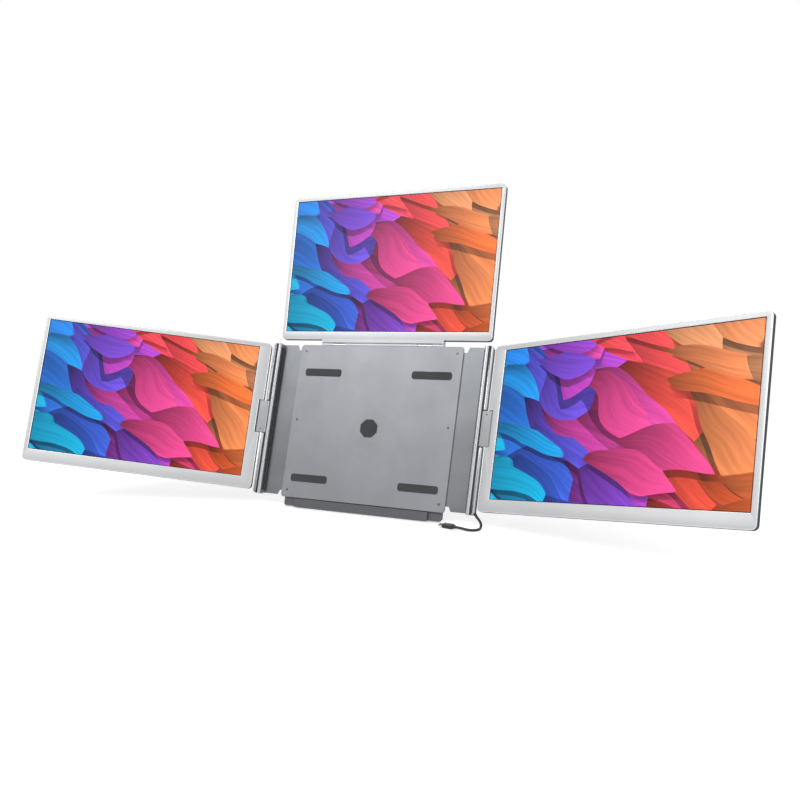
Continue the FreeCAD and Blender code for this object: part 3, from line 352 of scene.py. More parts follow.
plug_skin = finish("plug skin", "28292b", "313234", (0.24, 0.34), grain_mm=0.35, grain_height=0.01, coat=0.4)
plug_metal = finish("plug metal", "b4b6b9", "c4c6c9", (0.18, 0.3), metal=1.0, grain_mm=0.2)
light_guide = finish("light guide", "d8dadc", "e4e6e8", (0.3, 0.45), grain_mm=0.8)
screw_steel = finish("screw steel", "55575a", "66686b", (0.22, 0.34), metal=0.9, grain_mm=0.2)
print(len([m for m in bpy.data.materials if m.use_nodes]), "finishes")

# %% [markdown]
# ## The picture on the displays
# Each display shows the same picture: broad overlapping strokes of colour, cold at one side and hot at the other.
# A photograph could be wrapped on the glass, but a picture made of nodes stays sharp at any distance and needs no
# file. The strokes are long cells of a Voronoi texture, bent by noise, in three layers. Each stroke takes one tone
# from a colour band, by where its middle lies, and is shaded from its root to its tip.

# %% The colour band
def colour_band(tree):
    band = node(tree, "ShaderNodeValToRGB")
    tones = [
        (0.00, "0fb4d8"), (0.10, "1f7fe0"), (0.20, "3550d0"), (0.32, "8a3fc8"), (0.43, "c93fae"), (0.53, "ef4f9a"),
        (0.62, "f0405c"), (0.74, "f2562a"), (0.87, "fb7d35"), (1.00, "ffb07a"),
    ]
    elements = band.color_ramp.elements
    while len(elements) < len(tones):
        elements.new(0.5)
    for element, (position, code) in zip(elements, tones):
        element.position, element.color = position, srgb(code)
    band.color_ramp.interpolation = "B_SPLINE"
    return band


# %% The cells of one layer
STROKE_STRETCH, HAIR_STRETCH, SHADE_SHIFT = (2.1, 6.2, 1), (1.6, 46, 1), (-0.06, 0.2, 0)


def stroke_cells(tree, where, density):
    """Returns the cells, a chance for each of them, and whether it is kept."""
    cells = node(tree, "ShaderNodeTexVoronoi", voronoi_dimensions="2D", feature="F1", Scale=1.0, Randomness=0.8)
    link(tree, where, cells.inputs["Vector"])
    chance = node(tree, "ShaderNodeSeparateColor")
    link(tree, cells.outputs["Color"], chance.inputs[0])
    return cells, chance.outputs[0], maths(tree, "LESS_THAN", chance.outputs[1], density)


def split_xyz(tree, given):
    split = node(tree, "ShaderNodeSeparateXYZ")
    link(tree, given, split.inputs[0])
    return split.outputs


# %% One layer of strokes
def stroke_layer(tree, flow, offset, angle, density):
    """Returns the colour of the layer's strokes, a mask of where they lie, and the shade that they cast."""
    place = node(tree, "ShaderNodeMapping")
    place.inputs["Location"].default_value = offset
    place.inputs["Rotation"].default_value = (0, 0, radians(angle))
    link(tree, flow, place.inputs["Vector"])
    long = vector_maths(tree, "MULTIPLY", place.outputs["Vector"], STROKE_STRETCH)
    cells, chance, kept = stroke_cells(tree, long, density)
    inside = split_xyz(tree, vector_maths(tree, "SUBTRACT", long, cells.outputs["Position"]))
    back = vector_maths(tree, "DIVIDE", cells.outputs["Position"], STROKE_STRETCH)
    unturned = node(tree, "ShaderNodeVectorRotate", rotation_type="Z_AXIS")
    unturned.inputs["Angle"].default_value = -radians(angle)
    link(tree, vector_maths(tree, "SUBTRACT", back, offset), unturned.inputs["Vector"])
    middle = split_xyz(tree, unturned.outputs[0])
    jitter = maths(tree, "MULTIPLY_ADD", chance, 0.2, -0.2)
    lift = maths(tree, "MULTIPLY_ADD", middle["Y"], 0.3, jitter)
    band = colour_band(tree)
    link(tree, maths(tree, "MULTIPLY_ADD", middle["X"], 0.56, lift), band.inputs["Fac"])
    along = map_range(tree, inside["X"], (-0.75, 0.75), (0.16, 1.42))
    bristle = node(tree, "ShaderNodeTexNoise", noise_dimensions="2D", Scale=1.0, Detail=3.0, Roughness=0.6)
    link(tree, vector_maths(tree, "MULTIPLY", place.outputs["Vector"], HAIR_STRETCH), bristle.inputs["Vector"])
    hair = map_range(tree, bristle.outputs["Fac"], (0.3, 0.7), (0.82, 1.16))
    shaded = vector_maths(tree, "SCALE", band.outputs["Color"], maths(tree, "MULTIPLY", along, hair))
    near = map_range(tree, cells.outputs["Distance"], (0.66, 0.6), (0.0, 1.0), "SMOOTHSTEP")
    mask = maths(tree, "MULTIPLY", kept, near)
    over, _, over_kept = stroke_cells(tree, vector_maths(tree, "ADD", long, SHADE_SHIFT), density)
    soft = map_range(tree, over.outputs["Distance"], (0.8, 0.45), (0.0, 0.55), "SMOOTHSTEP")
    return shaded, mask, maths(tree, "MULTIPLY", over_kept, soft)


# %% The whole picture as one node group
picture = bpy.data.node_groups.new("stroke picture", "ShaderNodeTree")
picture.interface.new_socket("Place", in_out="INPUT", socket_type="NodeSocketVector")
picture.interface.new_socket("Colour", in_out="OUTPUT", socket_type="NodeSocketColor")
given = picture.nodes.new("NodeGroupInput")
bend = node(picture, "ShaderNodeTexNoise", noise_dimensions="2D", Scale=1.6, Detail=1.0, Roughness=0.4)
link(picture, given.outputs[0], bend.inputs["Vector"])
centred = vector_maths(picture, "SUBTRACT", bend.outputs["Color"], (0.5, 0.5, 0.5))
bent = vector_maths(picture, "MULTIPLY_ADD", centred, (0.3, 0.3, 0), given.outputs[0])
layers = [
    stroke_layer(picture, bent, (0.0, 0.0, 0), 28, 1.1),
    stroke_layer(picture, bent, (3.3, 1.7, 0), 40, 0.62),
    stroke_layer(picture, bent, (7.1, 4.9, 0), 16, 0.42),
]
colour = layers[0][0]
for over, mask, shade in layers[1:]:
    shadowed = vector_maths(picture, "SCALE", colour, maths(picture, "SUBTRACT", 1.0, shade))
    mixed = node(picture, "ShaderNodeMix", data_type="RGBA")
    link(picture, mask, mixed.inputs["Factor"])
    link(picture, shadowed, mixed.inputs[6])
    link(picture, over, mixed.inputs[7])
    colour = mixed.outputs[2]
link(picture, colour, picture.nodes.new("NodeGroupOutput").inputs[0])
print("picture group has", len(picture.nodes), "nodes")

# %% [markdown]
# ## The display itself
# A real display is a lit sheet behind clear glass, with a thin black border that the bezel never quite covers. The
# material finds where it is on the sheet by measuring along the sheet's own two edges, so the picture stays on the
# display when a hinge turns. The picture is given off as light, and the glass over it keeps a soft gloss.

# %% Display material
BLACK_BORDER = 0.9


def display_material(side):
    left, foot = display_corners[side]
    near, far = (left + DISPLAY_WIDTH, left) if side == "left" else (left, left + DISPLAY_WIDTH)
    corners = ((near, 0, foot), (far, 0, foot), (near, 0, foot + DISPLAY_HEIGHT))
    start, right_end, top_end = (places[side] @ Vector(corner) for corner in corners)
    unit = (top_end - start).length
    across, up = (right_end - start).normalized() / unit, (top_end - start).normalized() / unit
    material, tree = empty_material(side + " display")
    from_corner = vector_maths(tree, "SUBTRACT", node(tree, "ShaderNodeTexCoord").outputs["Object"], start)
    flat = node(tree, "ShaderNodeCombineXYZ")
    inside = []
    for i, (axis, size) in enumerate(((across, DISPLAY_WIDTH), (up, DISPLAY_HEIGHT))):
        measure = vector_maths(tree, "DOT_PRODUCT", from_corner, axis)
        link(tree, measure, flat.inputs[i])
        half = size / DISPLAY_HEIGHT / 2
        off_middle = maths(tree, "ABSOLUTE", maths(tree, "SUBTRACT", measure, half))
        inside.append(maths(tree, "LESS_THAN", off_middle, half - BLACK_BORDER / DISPLAY_HEIGHT))
    shown = node(tree, "ShaderNodeGroup")
    shown.node_tree = picture
    link(tree, flat.outputs[0], shown.inputs[0])
    glow = vector_maths(tree, "SCALE", shown.outputs[0], maths(tree, "MULTIPLY", *inside))
    surface = node(tree, "ShaderNodeBsdfPrincipled")
    surface.inputs["Base Color"].default_value = (0.004, 0.004, 0.005, 1)
    surface.inputs["Roughness"].default_value = 0.3
    surface.inputs["Specular IOR Level"].default_value = 0.12
    surface.inputs["Emission Strength"].default_value = 1.0
    link(tree, glow, surface.inputs["Emission Color"])
    link(tree, surface.outputs[0], node(tree, "ShaderNodeOutputMaterial").inputs["Surface"])
    return material


# %% [markdown]
# ## Dressing the pieces of the exact model
# Many pieces of the exact model already have their right shape: rails, pins, blocks, boards, the kickstand. They
# only need their finish.

# %% Finish of each model piece
dressed = {
    "centre_plate": plate_silver, "lid_pads": soft_pad, "rear_cover": cover_plastic, "main_board": board_green,
    "foot_strip": foot_rubber, "top_hinge_brackets": block_metal, "top_hinge_pins": pin_steel,
    "kickstand_leg": leg_metal, "kickstand_foot": foot_rubber, "kickstand_pin": pin_steel,
    "top_hinge_tongue": satin_silver, "cable_gland": cable_skin, "usb_plug_body": plug_skin,
    "usb_plug_tip": plug_metal, "usb_cable": cable_skin,
}
for side in ("left", "right"):
    dressed.update({
        side + "_rail": rail_grey_and_groove_shade, side + "_clamp_band": brushed_band, side + "_rail_strips": brushed_band,
        side + "_grip_pad": soft_pad, side + "_slide_plate": slide_steel, side + "_rail_pin": pin_steel,
        side + "_hinge_block": block_metal, side + "_hinge_cover_plate": block_plate,
        side + "_panel_pin": pin_steel,
    })
for side in places:
    dressed.update({
        side + "_bezel": satin_silver, side + "_screen_cell": display_material(side),
        side + "_backlight": light_guide, side + "_rear_shell": shell_plastic, side + "_driver_board": board_green,
        side + "_power_button": button_plastic, side + "_menu_button": button_plastic,
    })
for name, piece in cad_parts.items():
    piece.data.materials.clear()
    piece.data.materials.append(dressed[name])
print("dressed", len(dressed), "of", len(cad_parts), "model pieces")

# %% [markdown]
# ## Drawing outlines with round corners
# Sheet metal parts are outlines with round corners, seen again and again at small insets: the front edge, the
# rounded lip, the wall. So an outline here is a function of its inset. Every inset gives the same number of
# points, and a lip or wall is made by joining one ring of points to the next.

# %% Round corners
def round_corners(corners, steps=6):
    """corners are (x, z, radius); a straight corner has radius 0 and still gets all its points."""
    points = []
    for i, (x, z, radius) in enumerate(corners):
        here = Vector((x, z))
        before, after = Vector(corners[i - 1][:2]), Vector(corners[(i + 1) % len(corners)][:2])
        into, out = (before - here).normalized(), (after - here).normalized()
        size = max(radius, 0.02)
        centre = here + (into + out) * size
        first, last = here + into * size, here + out * size
        for k in range(steps + 1):
            share = k / steps
            spoke = (first - centre).normalized().slerp((last - centre).normalized(), share) * size
            points.append(centre + spoke)
    return points

def rectangle(x0, x1, z0, z1, corner, steps=6):
    return round_corners([(x0, z0, corner), (x1, z0, corner), (x1, z1, corner), (x0, z1, corner)], steps)


# %% Outlines of the screens
def side_outline(inset):
    left, right, low, high = inset, SIDE_WIDTH - inset, inset, SIDE_HEIGHT - inset
    deep, shut, shut_high = NOTCH_DEPTH + inset, NOTCH_LOW - inset, NOTCH_HIGH + inset
    corner, inner = max(SCREEN_CORNER - inset, 0.5), 0.6 + inset
    return round_corners([
        (left, low, corner), (right, low, corner), (right, high, corner), (left, high, corner),
        (left, shut_high, 0.5), (deep, shut_high, inner), (deep, shut, inner), (left, shut, 0.5),
    ])


def top_outline(inset):
    left, right, low, high = inset, TOP_WIDTH - inset, inset, TOP_HEIGHT - inset
    start, end = TOP_WIDTH / 2 - TONGUE_WIDTH / 2 + inset, TOP_WIDTH / 2 + TONGUE_WIDTH / 2 - inset
    corner = max(SCREEN_CORNER - inset, 0.5)
    return round_corners([
        (left, low, corner), (start, low, 0.4), (start, inset - TONGUE_SKIN, 0.3), (end, inset - TONGUE_SKIN, 0.3),
        (end, low, 0.4), (right, low, corner), (right, high, corner), (left, high, corner),
    ])


def window_outline(side):
    left, low = display_corners[side]

    def outline(grow):
        right, high = left + DISPLAY_WIDTH + grow, low + DISPLAY_HEIGHT + grow
        return rectangle(left - grow, right, low - grow, high, 0.15 + grow, steps=3)

    return outline


# %% Joining rings of points
def add_ring(mesh, outline, inset, depth):
    return [mesh.verts.new((p.x, depth, p.y)) for p in outline(inset)]


def join_rings(mesh, first, second, finish_number=0):
    count = len(first)
    for i in range(count):
        j = (i + 1) % count
        face = mesh.faces.new((first[i], first[j], second[j], second[i]))
        face.material_index = finish_number

def join_all(mesh, rings, capped=True):
    """Joins each ring to the next one, and closes both ends if they are capped."""
    for first, second in zip(rings, rings[1:]):
        join_rings(mesh, first, second)
    if capped:
        mesh.faces.new(rings[0])
        mesh.faces.new(rings[-1])


def fill_between(mesh, *rings):
    """Fills the flat area inside the first ring and outside the others."""
    flat = [[Vector((v.co.x, v.co.z, 0)) for v in ring] for ring in rings]
    every = [v for ring in rings for v in ring]
    for a, b, c in tessellate_polygon(flat):
        if len({a, b, c}) == 3:
            mesh.faces.new((every[a], every[b], every[c]))


# %% From a drawing to a piece
def make_piece(name, mesh, place, body, slot, *finishes, smooth=32):
    """Puts a drawing in its place, makes its normals point out, and lets it ride on its body."""
    mesh.transform(place)
    bmesh.ops.remove_doubles(mesh, verts=mesh.verts, dist=1e-7)
    bmesh.ops.recalc_face_normals(mesh, faces=mesh.faces)
    data = bpy.data.meshes.new(name)
    mesh.to_mesh(data)
    mesh.free()
    for one in finishes:
        data.materials.append(one)
    data.shade_smooth()
    data.set_sharp_from_angle(angle=radians(smooth))
    piece = bpy.data.objects.new(name, data)
    bpy.context.scene.collection.objects.link(piece)
    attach(piece, body)
    return piece


# %% [markdown]
# ## The silver bezels
# The front of each screen is a thin pressed frame with a softly rounded outer lip and a bright cut edge round the
# display. It is the largest metal face of the object, and the light runs along its lip, so a plain bevel from the
# exact model isn't enough. The frame is drawn as rings: lip, wall, hollow back, and the cut edge of the window.
# The lip and the cut edge are polished, the face between them is satin, and both edges also get a lighter silver
# than the face, a painted highlight: that is why both edges shine and the face doesn't. Behind the lip the dark
# shell wraps round the wall, so only a thin line of silver shows from the side.

# %% Bezel rings
def lip(radius, steps=4):
    """(inset, depth) along a quarter round from the face to the side."""
    turns = [k * pi / 2 / steps for k in range(steps + 1)]
    return [(radius * (1 - sin(a)), radius * (1 - cos(a))) for a in turns]


LIP_ROUND, SHEET, WALL, WRAP_START, WRAP = 1.2, 1.15, 1.6, 1.3, 0.3
# The first bands from the face round the lip take the lighter cut edge finish, a painted highlight on a polished
# edge.
POLISHED_AND_HIGHLIGHT_BANDS, WINDOW_EDGE = 6, ((0.75, 0), (0.55, 0.06), (0.05, 0.62), (0, SHEET))
outlines = {"left": side_outline, "right": side_outline, "top": top_outline}


def make_bezel(side):
    mesh = bmesh.new()
    back = BEZEL_DEPTH - 0.05
    profile = lip(LIP_ROUND)
    profile += [(0, WRAP_START - 0.05), (WRAP, WRAP_START), (WRAP, back), (WALL, back), (WALL, SHEET)]
    rings = [add_ring(mesh, outlines[side], inset, depth) for inset, depth in profile]
    for band, (first, second) in enumerate(zip(rings, rings[1:])):
        join_rings(mesh, first, second, finish_number=1 if band < POLISHED_AND_HIGHLIGHT_BANDS else 0)
    cut = [add_ring(mesh, window_outline(side), grow, depth) for grow, depth in WINDOW_EDGE]
    for first, second in zip(cut, cut[1:]):
        join_rings(mesh, first, second, finish_number=1)
    fill_between(mesh, rings[0], cut[0])
    fill_between(mesh, rings[-1], cut[-1])
    piece = make_piece(
        side + "_fine_bezel", mesh, places[side], side + "_screen", "silver_bezel", satin_silver, cut_edge_and_painted_highlight
    )
    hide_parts(side + "_bezel")
    print(piece.name, len(piece.data.polygons), "faces")


for side in places:
    make_bezel(side)


# %% The dark wrap behind each lip
def flat_outline(x0, x1, z0, z1, radius):
    def outline(inset):
        return rectangle(x0 + inset, x1 - inset, z0 + inset, z1 - inset, max(radius - inset, 0.2))

    return outline


def wrap_outline(side):
    """The outline of the screen; the top screen's tongue has no wrap, because its hinge barrel follows it."""
    if side != "top":
        return side_outline
    return flat_outline(0, TOP_WIDTH, 0, TOP_HEIGHT, SCREEN_CORNER)


WRAP_SECTION = (
    (0.02, BEZEL_DEPTH), (0.02, WRAP_START + 0.12), (0.1, WRAP_START + 0.04), (WRAP, WRAP_START + 0.04)
)
for side in places:
    mesh = bmesh.new()
    join_all(mesh, [add_ring(mesh, wrap_outline(side), *step) for step in WRAP_SECTION], capped=False)
    make_piece(side + "_dark_wrap", mesh, places[side], side + "_screen", "shell_grey", shell_plastic)
print("three dark wraps")

# %% [markdown]
# ## The rails' front strips
# Beside each hinge block a slim strip runs up and down the rail. Its long edges are soft, so it shows a dark side,
# a slow rise and a bright ridge across a width of five millimetres. Two flat faces with a bevel can't do that.

# %% Soft strips
STRIP_ROUND, STRIP_DEPTH, STRIP_GAP = 1.6, 2.5, 0.4
block_reach = BLOCK_LENGTH / 2 + SWING_GAP + STRIP_GAP


def strip_outline(low, high, radii):
    """radii are those of the corners low inner, low outer, high outer and high inner."""
    inner = RAIL_OUTER - STRIP_WIDTH

    def outline(inset):
        a, b, c, d = inner + inset, RAIL_OUTER - inset, low + inset, high - inset
        corners = zip(((a, c), (b, c), (b, d), (a, d)), radii)
        return round_corners([(x, z, max(radius - inset, 0.25)) for (x, z), radius in corners])

    return outline


for side in ("left", "right"):
    mesh = bmesh.new()
    spans = (
        (RAIL_LOW + 0.05, HINGE_HEIGHT - block_reach, (0.3, 4.6, 1.7, 1.7)),
        (HINGE_HEIGHT + block_reach, RAIL_HIGH - 0.05, (1.7, 1.7, 4.6, 0.3)),
    )
    profile = lip(STRIP_ROUND, 6) + [(0, STRIP_DEPTH)]
    for span in spans:
        rings = [add_ring(mesh, strip_outline(*span), inset, RAIL_FRONT + depth) for inset, depth in profile]
        join_all(mesh, rings)
    mirror = MIRROR if side == "left" else Matrix.Identity(4)
    strips = make_piece(
        side + "_soft_strips", mesh, mirror @ frame_place, side + "_rail_body", "band_silver",
        brushed_band, smooth=50,
    )
    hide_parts(side + "_rail_strips")
print("two strips on each rail")

# %% [markdown]
# ## The cable
# A short soft lead leaves the foot of the right rail, drops to the desk in one loop and ends in a flat plug. Bent
# tubes made of arcs look like wire. A NURBS curve through a few given control points bends the way a soft lead
# does. It leaves the rail through a tapered sleeve, and ends in a tapered collar on the plug.

# %% Cable curve
lead_points = [
    (0.1887, -0.0068, 0.0146), (0.1933, -0.0076, 0.0100), (0.1963, -0.0117, 0.0055), (0.1967, -0.0182, 0.0024),
    (0.1940, -0.0249, 0.0020), (0.1880, -0.0291, 0.0020), (0.1804, -0.0294, 0.0021), (0.1716, -0.0280, 0.0032),
    (0.1630, -0.0264, 0.0033),
]
lead_data = bpy.data.curves.new("lead", "CURVE")
lead_data.dimensions = "3D"
lead_data.resolution_u = 16
lead_data.bevel_depth, lead_data.bevel_resolution = 0.0019, 5
lead_data.use_fill_caps = True
line = lead_data.splines.new("NURBS")
line.points.add(len(lead_points) - 1)
for point, place in zip(line.points, lead_points):
    point.co = (*place, 1)
line.order_u = 3
line.use_endpoint_u = True
lead_data.materials.append(cable_skin)
lead = bpy.data.objects.new("lead", lead_data)
bpy.context.scene.collection.objects.link(lead)
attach(lead, "right_rail_body")
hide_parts("usb_cable")


def centre_line(curve_object):
    """The points of the curve's own smooth line, without its thickness."""
    thin = curve_object.data.copy()
    thin.bevel_depth = 0
    holder = bpy.data.objects.new("centre line", thin)
    line_mesh = bpy.data.meshes.new_from_object(holder)
    points = [v.co.copy() for v in line_mesh.vertices]
    bpy.data.objects.remove(holder)
    return points


lead_line = centre_line(lead)
lead_length = sum((b - a).length for a, b in zip(lead_line, lead_line[1:]))
print("lead", round(lead_length * 1000, 1), "mm long,", len(lead_line), "points on its line")


# %% Sleeve and plug
def swept(mesh, stations, sides=20):
    """A skin through stations: (centre, forward, up, half width, half height, squareness)."""
    rings = []
    for centre, forward, up, wide, high, square in stations:
        across = forward.cross(up).normalized()
        true_up = across.cross(forward).normalized()
        ring = []
        for k in range(sides):
            a = 2 * pi * k / sides
            c, s = cos(a), sin(a)
            power = 2 / square
            x = abs(c) ** power * (1 if c >= 0 else -1) * wide
            y = abs(s) ** power * (1 if s >= 0 else -1) * high
            ring.append(mesh.verts.new(centre + across * x + true_up * y))
        rings.append(ring)
    join_all(mesh, rings)


UP, SLEEVE_ROOT = Vector((0, 0, 1)), Vector((0.1842, -0.0060, 0.0200))
# How far along the sleeve, and its radius there in millimetres
SLEEVE_RIBS = (
    (0, 2.35), (0.12, 2.4), (0.2, 2.4), (0.24, 2.15), (0.3, 2.15), (0.34, 2.3), (0.42, 2.28), (0.46, 2.02),
    (0.52, 2.02), (0.56, 2.15), (0.64, 2.12), (0.68, 1.9), (0.76, 1.95), (0.8, 2.1), (0.95, 2.1), (1.0, 1.95),
)
exit_point = Vector(lead_points[0])
leaving = (exit_point - SLEEVE_ROOT).normalized()
mesh = bmesh.new()
swept(mesh, [
    (SLEEVE_ROOT.lerp(exit_point, share), leaving, UP, radius / 1000, radius / 1000, 2.0)
    for share, radius in SLEEVE_RIBS
])
sleeve = make_piece("lead_sleeve", mesh, Matrix.Identity(4), "right_rail_body", "cable_grey", cable_skin)
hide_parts("cable_gland")
print("sleeve from", [round(c, 4) for c in SLEEVE_ROOT], "to", [round(c, 4) for c in exit_point])

# %% Plug
# Millimetres along the plug, half its width, half its height, and how square it is there
PLUG_BODY = (
    (0, 2.1, 2.1, 2), (0.4, 2.4, 2.3, 2), (1.6, 2.5, 2.35, 2.1), (3.3, 2.9, 2.6, 2.3), (3.7, 4.6, 2.9, 4),
    (4.2, 5.2, 3.05, 5), (5.2, 5.45, 3.15, 5.5), (12, 5.5, 3.2, 5.5), (18.6, 5.45, 3.15, 5.5),
    (19.5, 5.2, 3.0, 5.5), (19.95, 4.8, 2.7, 5.5),
)
PLUG_TIP = (
    (19.6, 4.15, 1.25, 4), (25.9, 4.15, 1.25, 4), (26.5, 4.0, 1.12, 4), (26.5, 3.4, 0.72, 4),
    (20.6, 3.4, 0.72, 4),
)
plug_start = Vector(lead_points[-1])
plug_ahead = (plug_start - Vector(lead_points[-2])).normalized()
plug_ahead = Vector((plug_ahead.x, plug_ahead.y, 0)).normalized()


def plug_piece(name, slot, paint, stations, sides):
    mesh = bmesh.new()
    swept(mesh, [
        (plug_start + plug_ahead * along / 1000, plug_ahead, UP, wide / 1000, high / 1000, square)
        for along, wide, high, square in stations
    ], sides)
    return make_piece(name, mesh, Matrix.Identity(4), "right_rail_body", slot, paint)


plug = plug_piece("plug_shell", "plug_grey", plug_skin, PLUG_BODY, 32)
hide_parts("usb_plug_body")
tip = plug_piece("plug_tip", "plug_steel", plug_metal, PLUG_TIP, 28)
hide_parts("usb_plug_tip")

# %% [markdown]
# ## Screws
# Small screws hold every shell. On the real object they are dark heads with a six-sided socket, sunk so that the
# rim stands a few tenths of a millimetre proud. A cylinder with a flat top reads as a peg, so each head gets a
# rounded rim and a real socket. One drawing helper serves them all, and the heads of one shell form one piece.

# %% A screw head
def ring_at(mesh, centre, across, up, points):
    return [mesh.verts.new(centre + across * x + up * y) for x, y in points]


def circle_points(radius, sides=24):
    return [(radius * cos(2 * pi * k / sides), radius * sin(2 * pi * k / sides)) for k in range(sides)]


def socket_points(radius, sides=24):
    """A six-sided ring with as many points as the round ones."""
    points = []
    for k in range(sides):
        a = 2 * pi * k / sides
        off = (a % (pi / 3)) - pi / 6
        reach = radius * cos(pi / 6) / cos(off)
        points.append((reach * cos(a), reach * sin(a)))
    return points


def axes_round(out):
    """The direction that a round head points in, and two directions across it."""
    out = Vector(out).normalized()
    across = out.orthogonal().normalized()
    return out, across, out.cross(across)


def add_screw(mesh, at, out, radius, proud):
    out, across, up = axes_round(out)
    at = Vector(at)
    rings = []
    for size, lift in ((1.0, -0.2), (1.0, proud * 0.5), (0.93, proud * 0.85), (0.8, proud)):
        rings.append(ring_at(mesh, at + out * lift, across, up, circle_points(radius * size)))
    for size, lift in ((0.5, proud), (0.46, proud - 0.3)):
        rings.append(ring_at(mesh, at + out * lift, across, up, socket_points(radius * size)))
    join_all(mesh, rings)


def screw_set(name, place, body, spots, out=(0, 1, 0), radius=1.9, proud=0.35):
    """One piece with a screw head at each spot."""
    mesh = bmesh.new()
    for spot in spots:
        add_screw(mesh, spot, out, radius, proud)
    make_piece(name, mesh, place, body, "pin_steel", screw_steel)
    print(name, len(spots), "heads")


# %% Screws in the rear shells
SCREW_IN, SCREW_UP, SCREW_DOWN = 10.5, 9.0, 8.5
for side, (width, height) in screen_sizes.items():
    columns, rows = (SCREW_IN, width / 2, width - SCREW_IN), (SCREW_UP, height - SCREW_DOWN)
    spots = [(x, SCREEN_DEPTH, z) for x in columns for z in rows]
    screw_set(side + "_shell_screws", places[side], side + "_screen", spots)

# %% Screws in the frame
COVER_SCREW_IN, PLATE_SCREW_X, PLATE_FRONT, RAIL_SCREW_X, RAIL_BACK = 9, 128.0, 5.8, 177.5, 9.6
rim = COVER_HALF_WIDTH - COVER_SCREW_IN
spots = [(x, COVER_BACK, z) for x in (-rim, rim) for z in (22.0, HINGE_HEIGHT, COVER_TOP - COVER_SCREW_IN)]
spots += [(x, COVER_BACK, 150.0) for x in (-62.0, 62.0)]
screw_set("cover_screws", frame_place, "frame", spots, radius=2.1)
spots = [(x, PLATE_FRONT, z) for x in (-PLATE_SCREW_X, PLATE_SCREW_X) for z in (14.0, HINGE_HEIGHT, 241.0)]
screw_set("plate_screws", frame_place, "frame", spots, out=(0, -1, 0), proud=0.3)
for side, x in (("left", -RAIL_SCREW_X), ("right", RAIL_SCREW_X)):
    spots = [(x, RAIL_BACK, z) for z in (30.0, 90.0, 166.0, 226.0)]
    screw_set(side + "_slide_screws", frame_place, side + "_rail_body", spots, radius=1.8, proud=0.3)

# %% [markdown]
# ## Hinge cover plates
# At mid height of each side screen sits a small two-pin block. A satin plate covers its front, held by one rivet:
# near the top on the right, near the bottom on the left, because the left block is the right one turned over. The
# plate catches the light in the photograph, so it gets a soft edge of its own.

# %% Places of the two blocks
def block_place(sign):
    """sign is 1 on the right and -1 on the left."""
    pin = move(sign * (RAIL_OUTER - PIVOT_INSET), RAIL_FRONT + PIVOT_DEPTH, HINGE_HEIGHT)
    return frame_place @ pin @ turn(-sign * SIDE_SWING / 2, "Z")


block_places = {"right": block_place(1), "left": block_place(-1) @ turn(180, "Y")}
PLATE_MARGIN, PLATE_DEPTH, RIVET_UP = 1.7, 0.8, 20.5


# %% Cover plate and rivet
def plate_outline(inset):
    half = BLOCK_DEPTH / 2
    left, right = -half + PLATE_MARGIN + inset, PIVOT_PITCH + half - PLATE_MARGIN - inset
    low, high = -BLOCK_LENGTH / 2 + inset, BLOCK_LENGTH / 2 - inset
    return rectangle(left, right, low, high, max(0.7 - inset, 0.2), steps=4)


def add_dome(mesh, at, out, radius, height, steps=5):
    out, across, up = axes_round(out)
    rings = []
    for k in range(steps):
        a = k * pi / 2 / steps
        centre = Vector(at) + out * height * sin(a)
        rings.append(ring_at(mesh, centre, across, up, circle_points(radius * cos(a))))
    join_all(mesh, rings)


for side, place in block_places.items():
    mesh = bmesh.new()
    face = -BLOCK_DEPTH / 2
    profile = lip(0.3, 3) + [(0, PLATE_DEPTH)]
    join_all(mesh, [add_ring(mesh, plate_outline, inset, face + depth) for inset, depth in profile])
    plate = make_piece(side + "_satin_plate", mesh, place, side + "_hinge_link", "block_cover", block_plate)
    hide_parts(side + "_hinge_cover_plate")
    mesh = bmesh.new()
    add_dome(mesh, (PIVOT_PITCH / 2, face, RIVET_UP), (0, -1, 0), 1.15, 0.4)
    make_piece(side + "_plate_rivet", mesh, place, side + "_hinge_link", "pin_steel", screw_steel)
print("two cover plates with a rivet each")

# %% [markdown]
# ## Sockets
# Each screen has two flat sockets in its lower edge, and the frame has three in its right side. The exact model
# has their openings and their tongues. What the eye expects is a bright steel sleeve just inside the opening.

# %% A socket sleeve
SOCKET_DEPTH, SLEEVE_SIDES = 3.2, 28
SLEEVE_SECTION = (
    (4.46, 1.56, -4.0), (4.46, 1.56, 0.0), (4.4, 1.5, 0.06),
    (4.12, 1.22, 0.06), (4.06, 1.16, 0.0), (4.06, 1.16, -4.0),
)


def add_sleeve(mesh, centre, forward, wide_axis):
    """A thin oval steel tube; forward points out of the opening."""
    forward, wide_axis = Vector(forward), Vector(wide_axis)
    thin_axis = forward.cross(wide_axis)
    rings = []
    for wide, thin, depth in SLEEVE_SECTION:
        ring = []
        for k in range(SLEEVE_SIDES):
            a = 2 * pi * k / SLEEVE_SIDES
            x = (wide - thin) * (1 if cos(a) >= 0 else -1) + thin * cos(a)
            at = Vector(centre) + wide_axis * x + thin_axis * thin * sin(a) + forward * depth
            ring.append(mesh.verts.new(at))
        rings.append(ring)
    join_all(mesh, rings, capped=False)


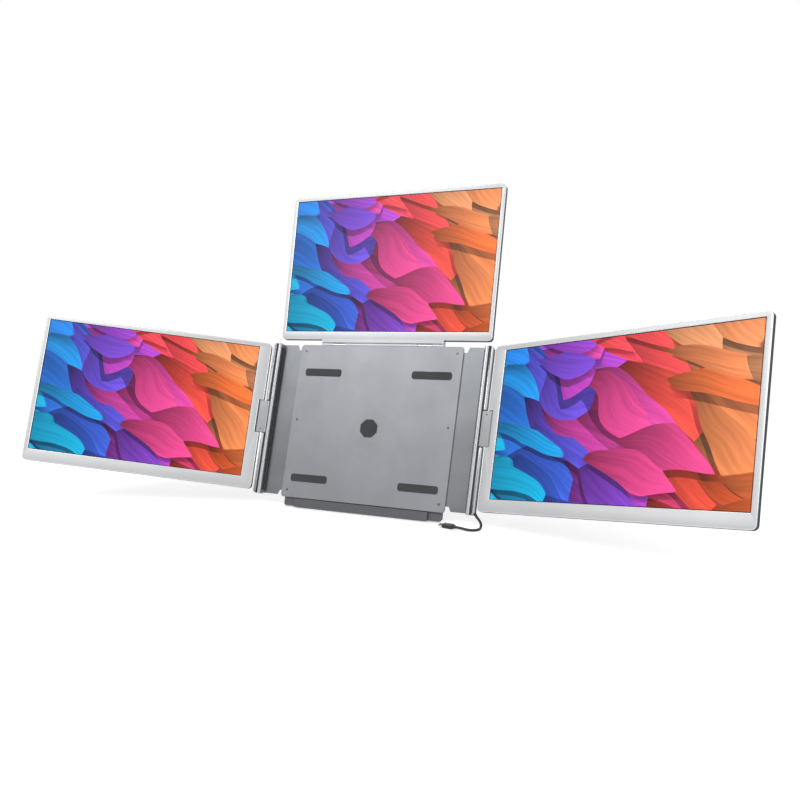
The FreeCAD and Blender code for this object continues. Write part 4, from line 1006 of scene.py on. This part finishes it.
# %% Sleeves of the screens and the frame
SHELL_WALL, BOARD_GAP, BOARD_DEPTH, COVER_WALL, MAIN_GAP, MAIN_DEPTH = 1.8, 1.9, 1.2, 2.2, 3.0, 1.6
BOARD_IN, SOCKET_IN, SOCKET_PITCH = 8.0, 13.0, 22.0
board_front = SCREEN_DEPTH - SHELL_WALL - BOARD_GAP - BOARD_DEPTH
for side, (left, _) in display_corners.items():
    mesh = bmesh.new()
    for index in range(2):
        x = left + BOARD_IN + SOCKET_IN + index * SOCKET_PITCH
        add_sleeve(mesh, (x, board_front - SOCKET_DEPTH / 2, 0.25), (0, 0, -1), (1, 0, 0))
    make_piece(side + "_socket_sleeves", mesh, places[side], side + "_screen", "plug_steel", plug_metal)
mesh = bmesh.new()
main_front = COVER_BACK - COVER_WALL - MAIN_GAP - MAIN_DEPTH
for z in (160.2, 176.2, 192.2):
    add_sleeve(mesh, (COVER_HALF_WIDTH - 0.35, main_front - SOCKET_DEPTH / 2, z), (1, 0, 0), (0, 0, 1))
make_piece("frame_socket_sleeves", mesh, frame_place, "frame", "plug_steel", plug_metal)
print("nine socket sleeves")

# %% [markdown]
# ## Backs of the screens
# The rear of each screen is a plain moulded shell: grained plastic, screws, vents and the two buttons are all that
# such a back has. A small pale light beside the buttons tells that the screen is on.

# %% Status lights
LIGHT_IN, LIGHT_UP = 29.5, 12.0
for side, (width, _) in screen_sizes.items():
    mesh = bmesh.new()
    at = (width - LIGHT_IN, SCREEN_DEPTH - 0.02, display_corners[side][1] + LIGHT_UP)
    add_dome(mesh, at, (0, 1, 0), 0.9, 0.3)
    make_piece(side + "_status_light", mesh, places[side], side + "_screen", "light_guide", light_guide)
print("a status light on each shell")

# %% [markdown]
# ## The leg's grip lines
# A thumb opens the leg at its lower edge. Five low ridges there stop it from slipping.

# %% A low flat piece
def add_flat(mesh, outline, base, rise, edge):
    """A flat piece with a soft edge, standing `rise` proud of the depth `base`."""
    profile = [(0, base), (0, base + rise - edge), (edge * 0.3, base + rise - edge * 0.3), (edge, base + rise)]
    join_all(mesh, [add_ring(mesh, outline, inset, depth) for inset, depth in profile])


# %% Grip lines
LEG_PIVOT_HEIGHT, LEG_PIVOT_BACK, LEG_LEAN, LEG_SUNK = 118.0, 18.8, 17.0, 0.5
GRIP_LINES, GRIP_START, GRIP_PITCH, GRIP_HALF, GRIP_THICK = 5, -96.0, 3.2, 22, 0.6
leg_spot = frame_place @ move(0, LEG_PIVOT_BACK, LEG_PIVOT_HEIGHT) @ turn(RECLINE + LEG_LEAN, "X")
leg_back = COVER_BACK - LEG_SUNK - LEG_PIVOT_BACK
mesh = bmesh.new()
for i in range(GRIP_LINES):
    z = GRIP_START - i * GRIP_PITCH
    ridge = flat_outline(-GRIP_HALF, GRIP_HALF, z - GRIP_THICK, z + GRIP_THICK, 0.55)
    add_flat(mesh, ridge, leg_back - 0.05, 0.4, 0.25)
ridges = make_piece("leg_grip_lines", mesh, leg_spot, "kickstand", "leg_grey", leg_metal)
print("grip lines at", [round(c, 3) for c in ridges.bound_box[0]])
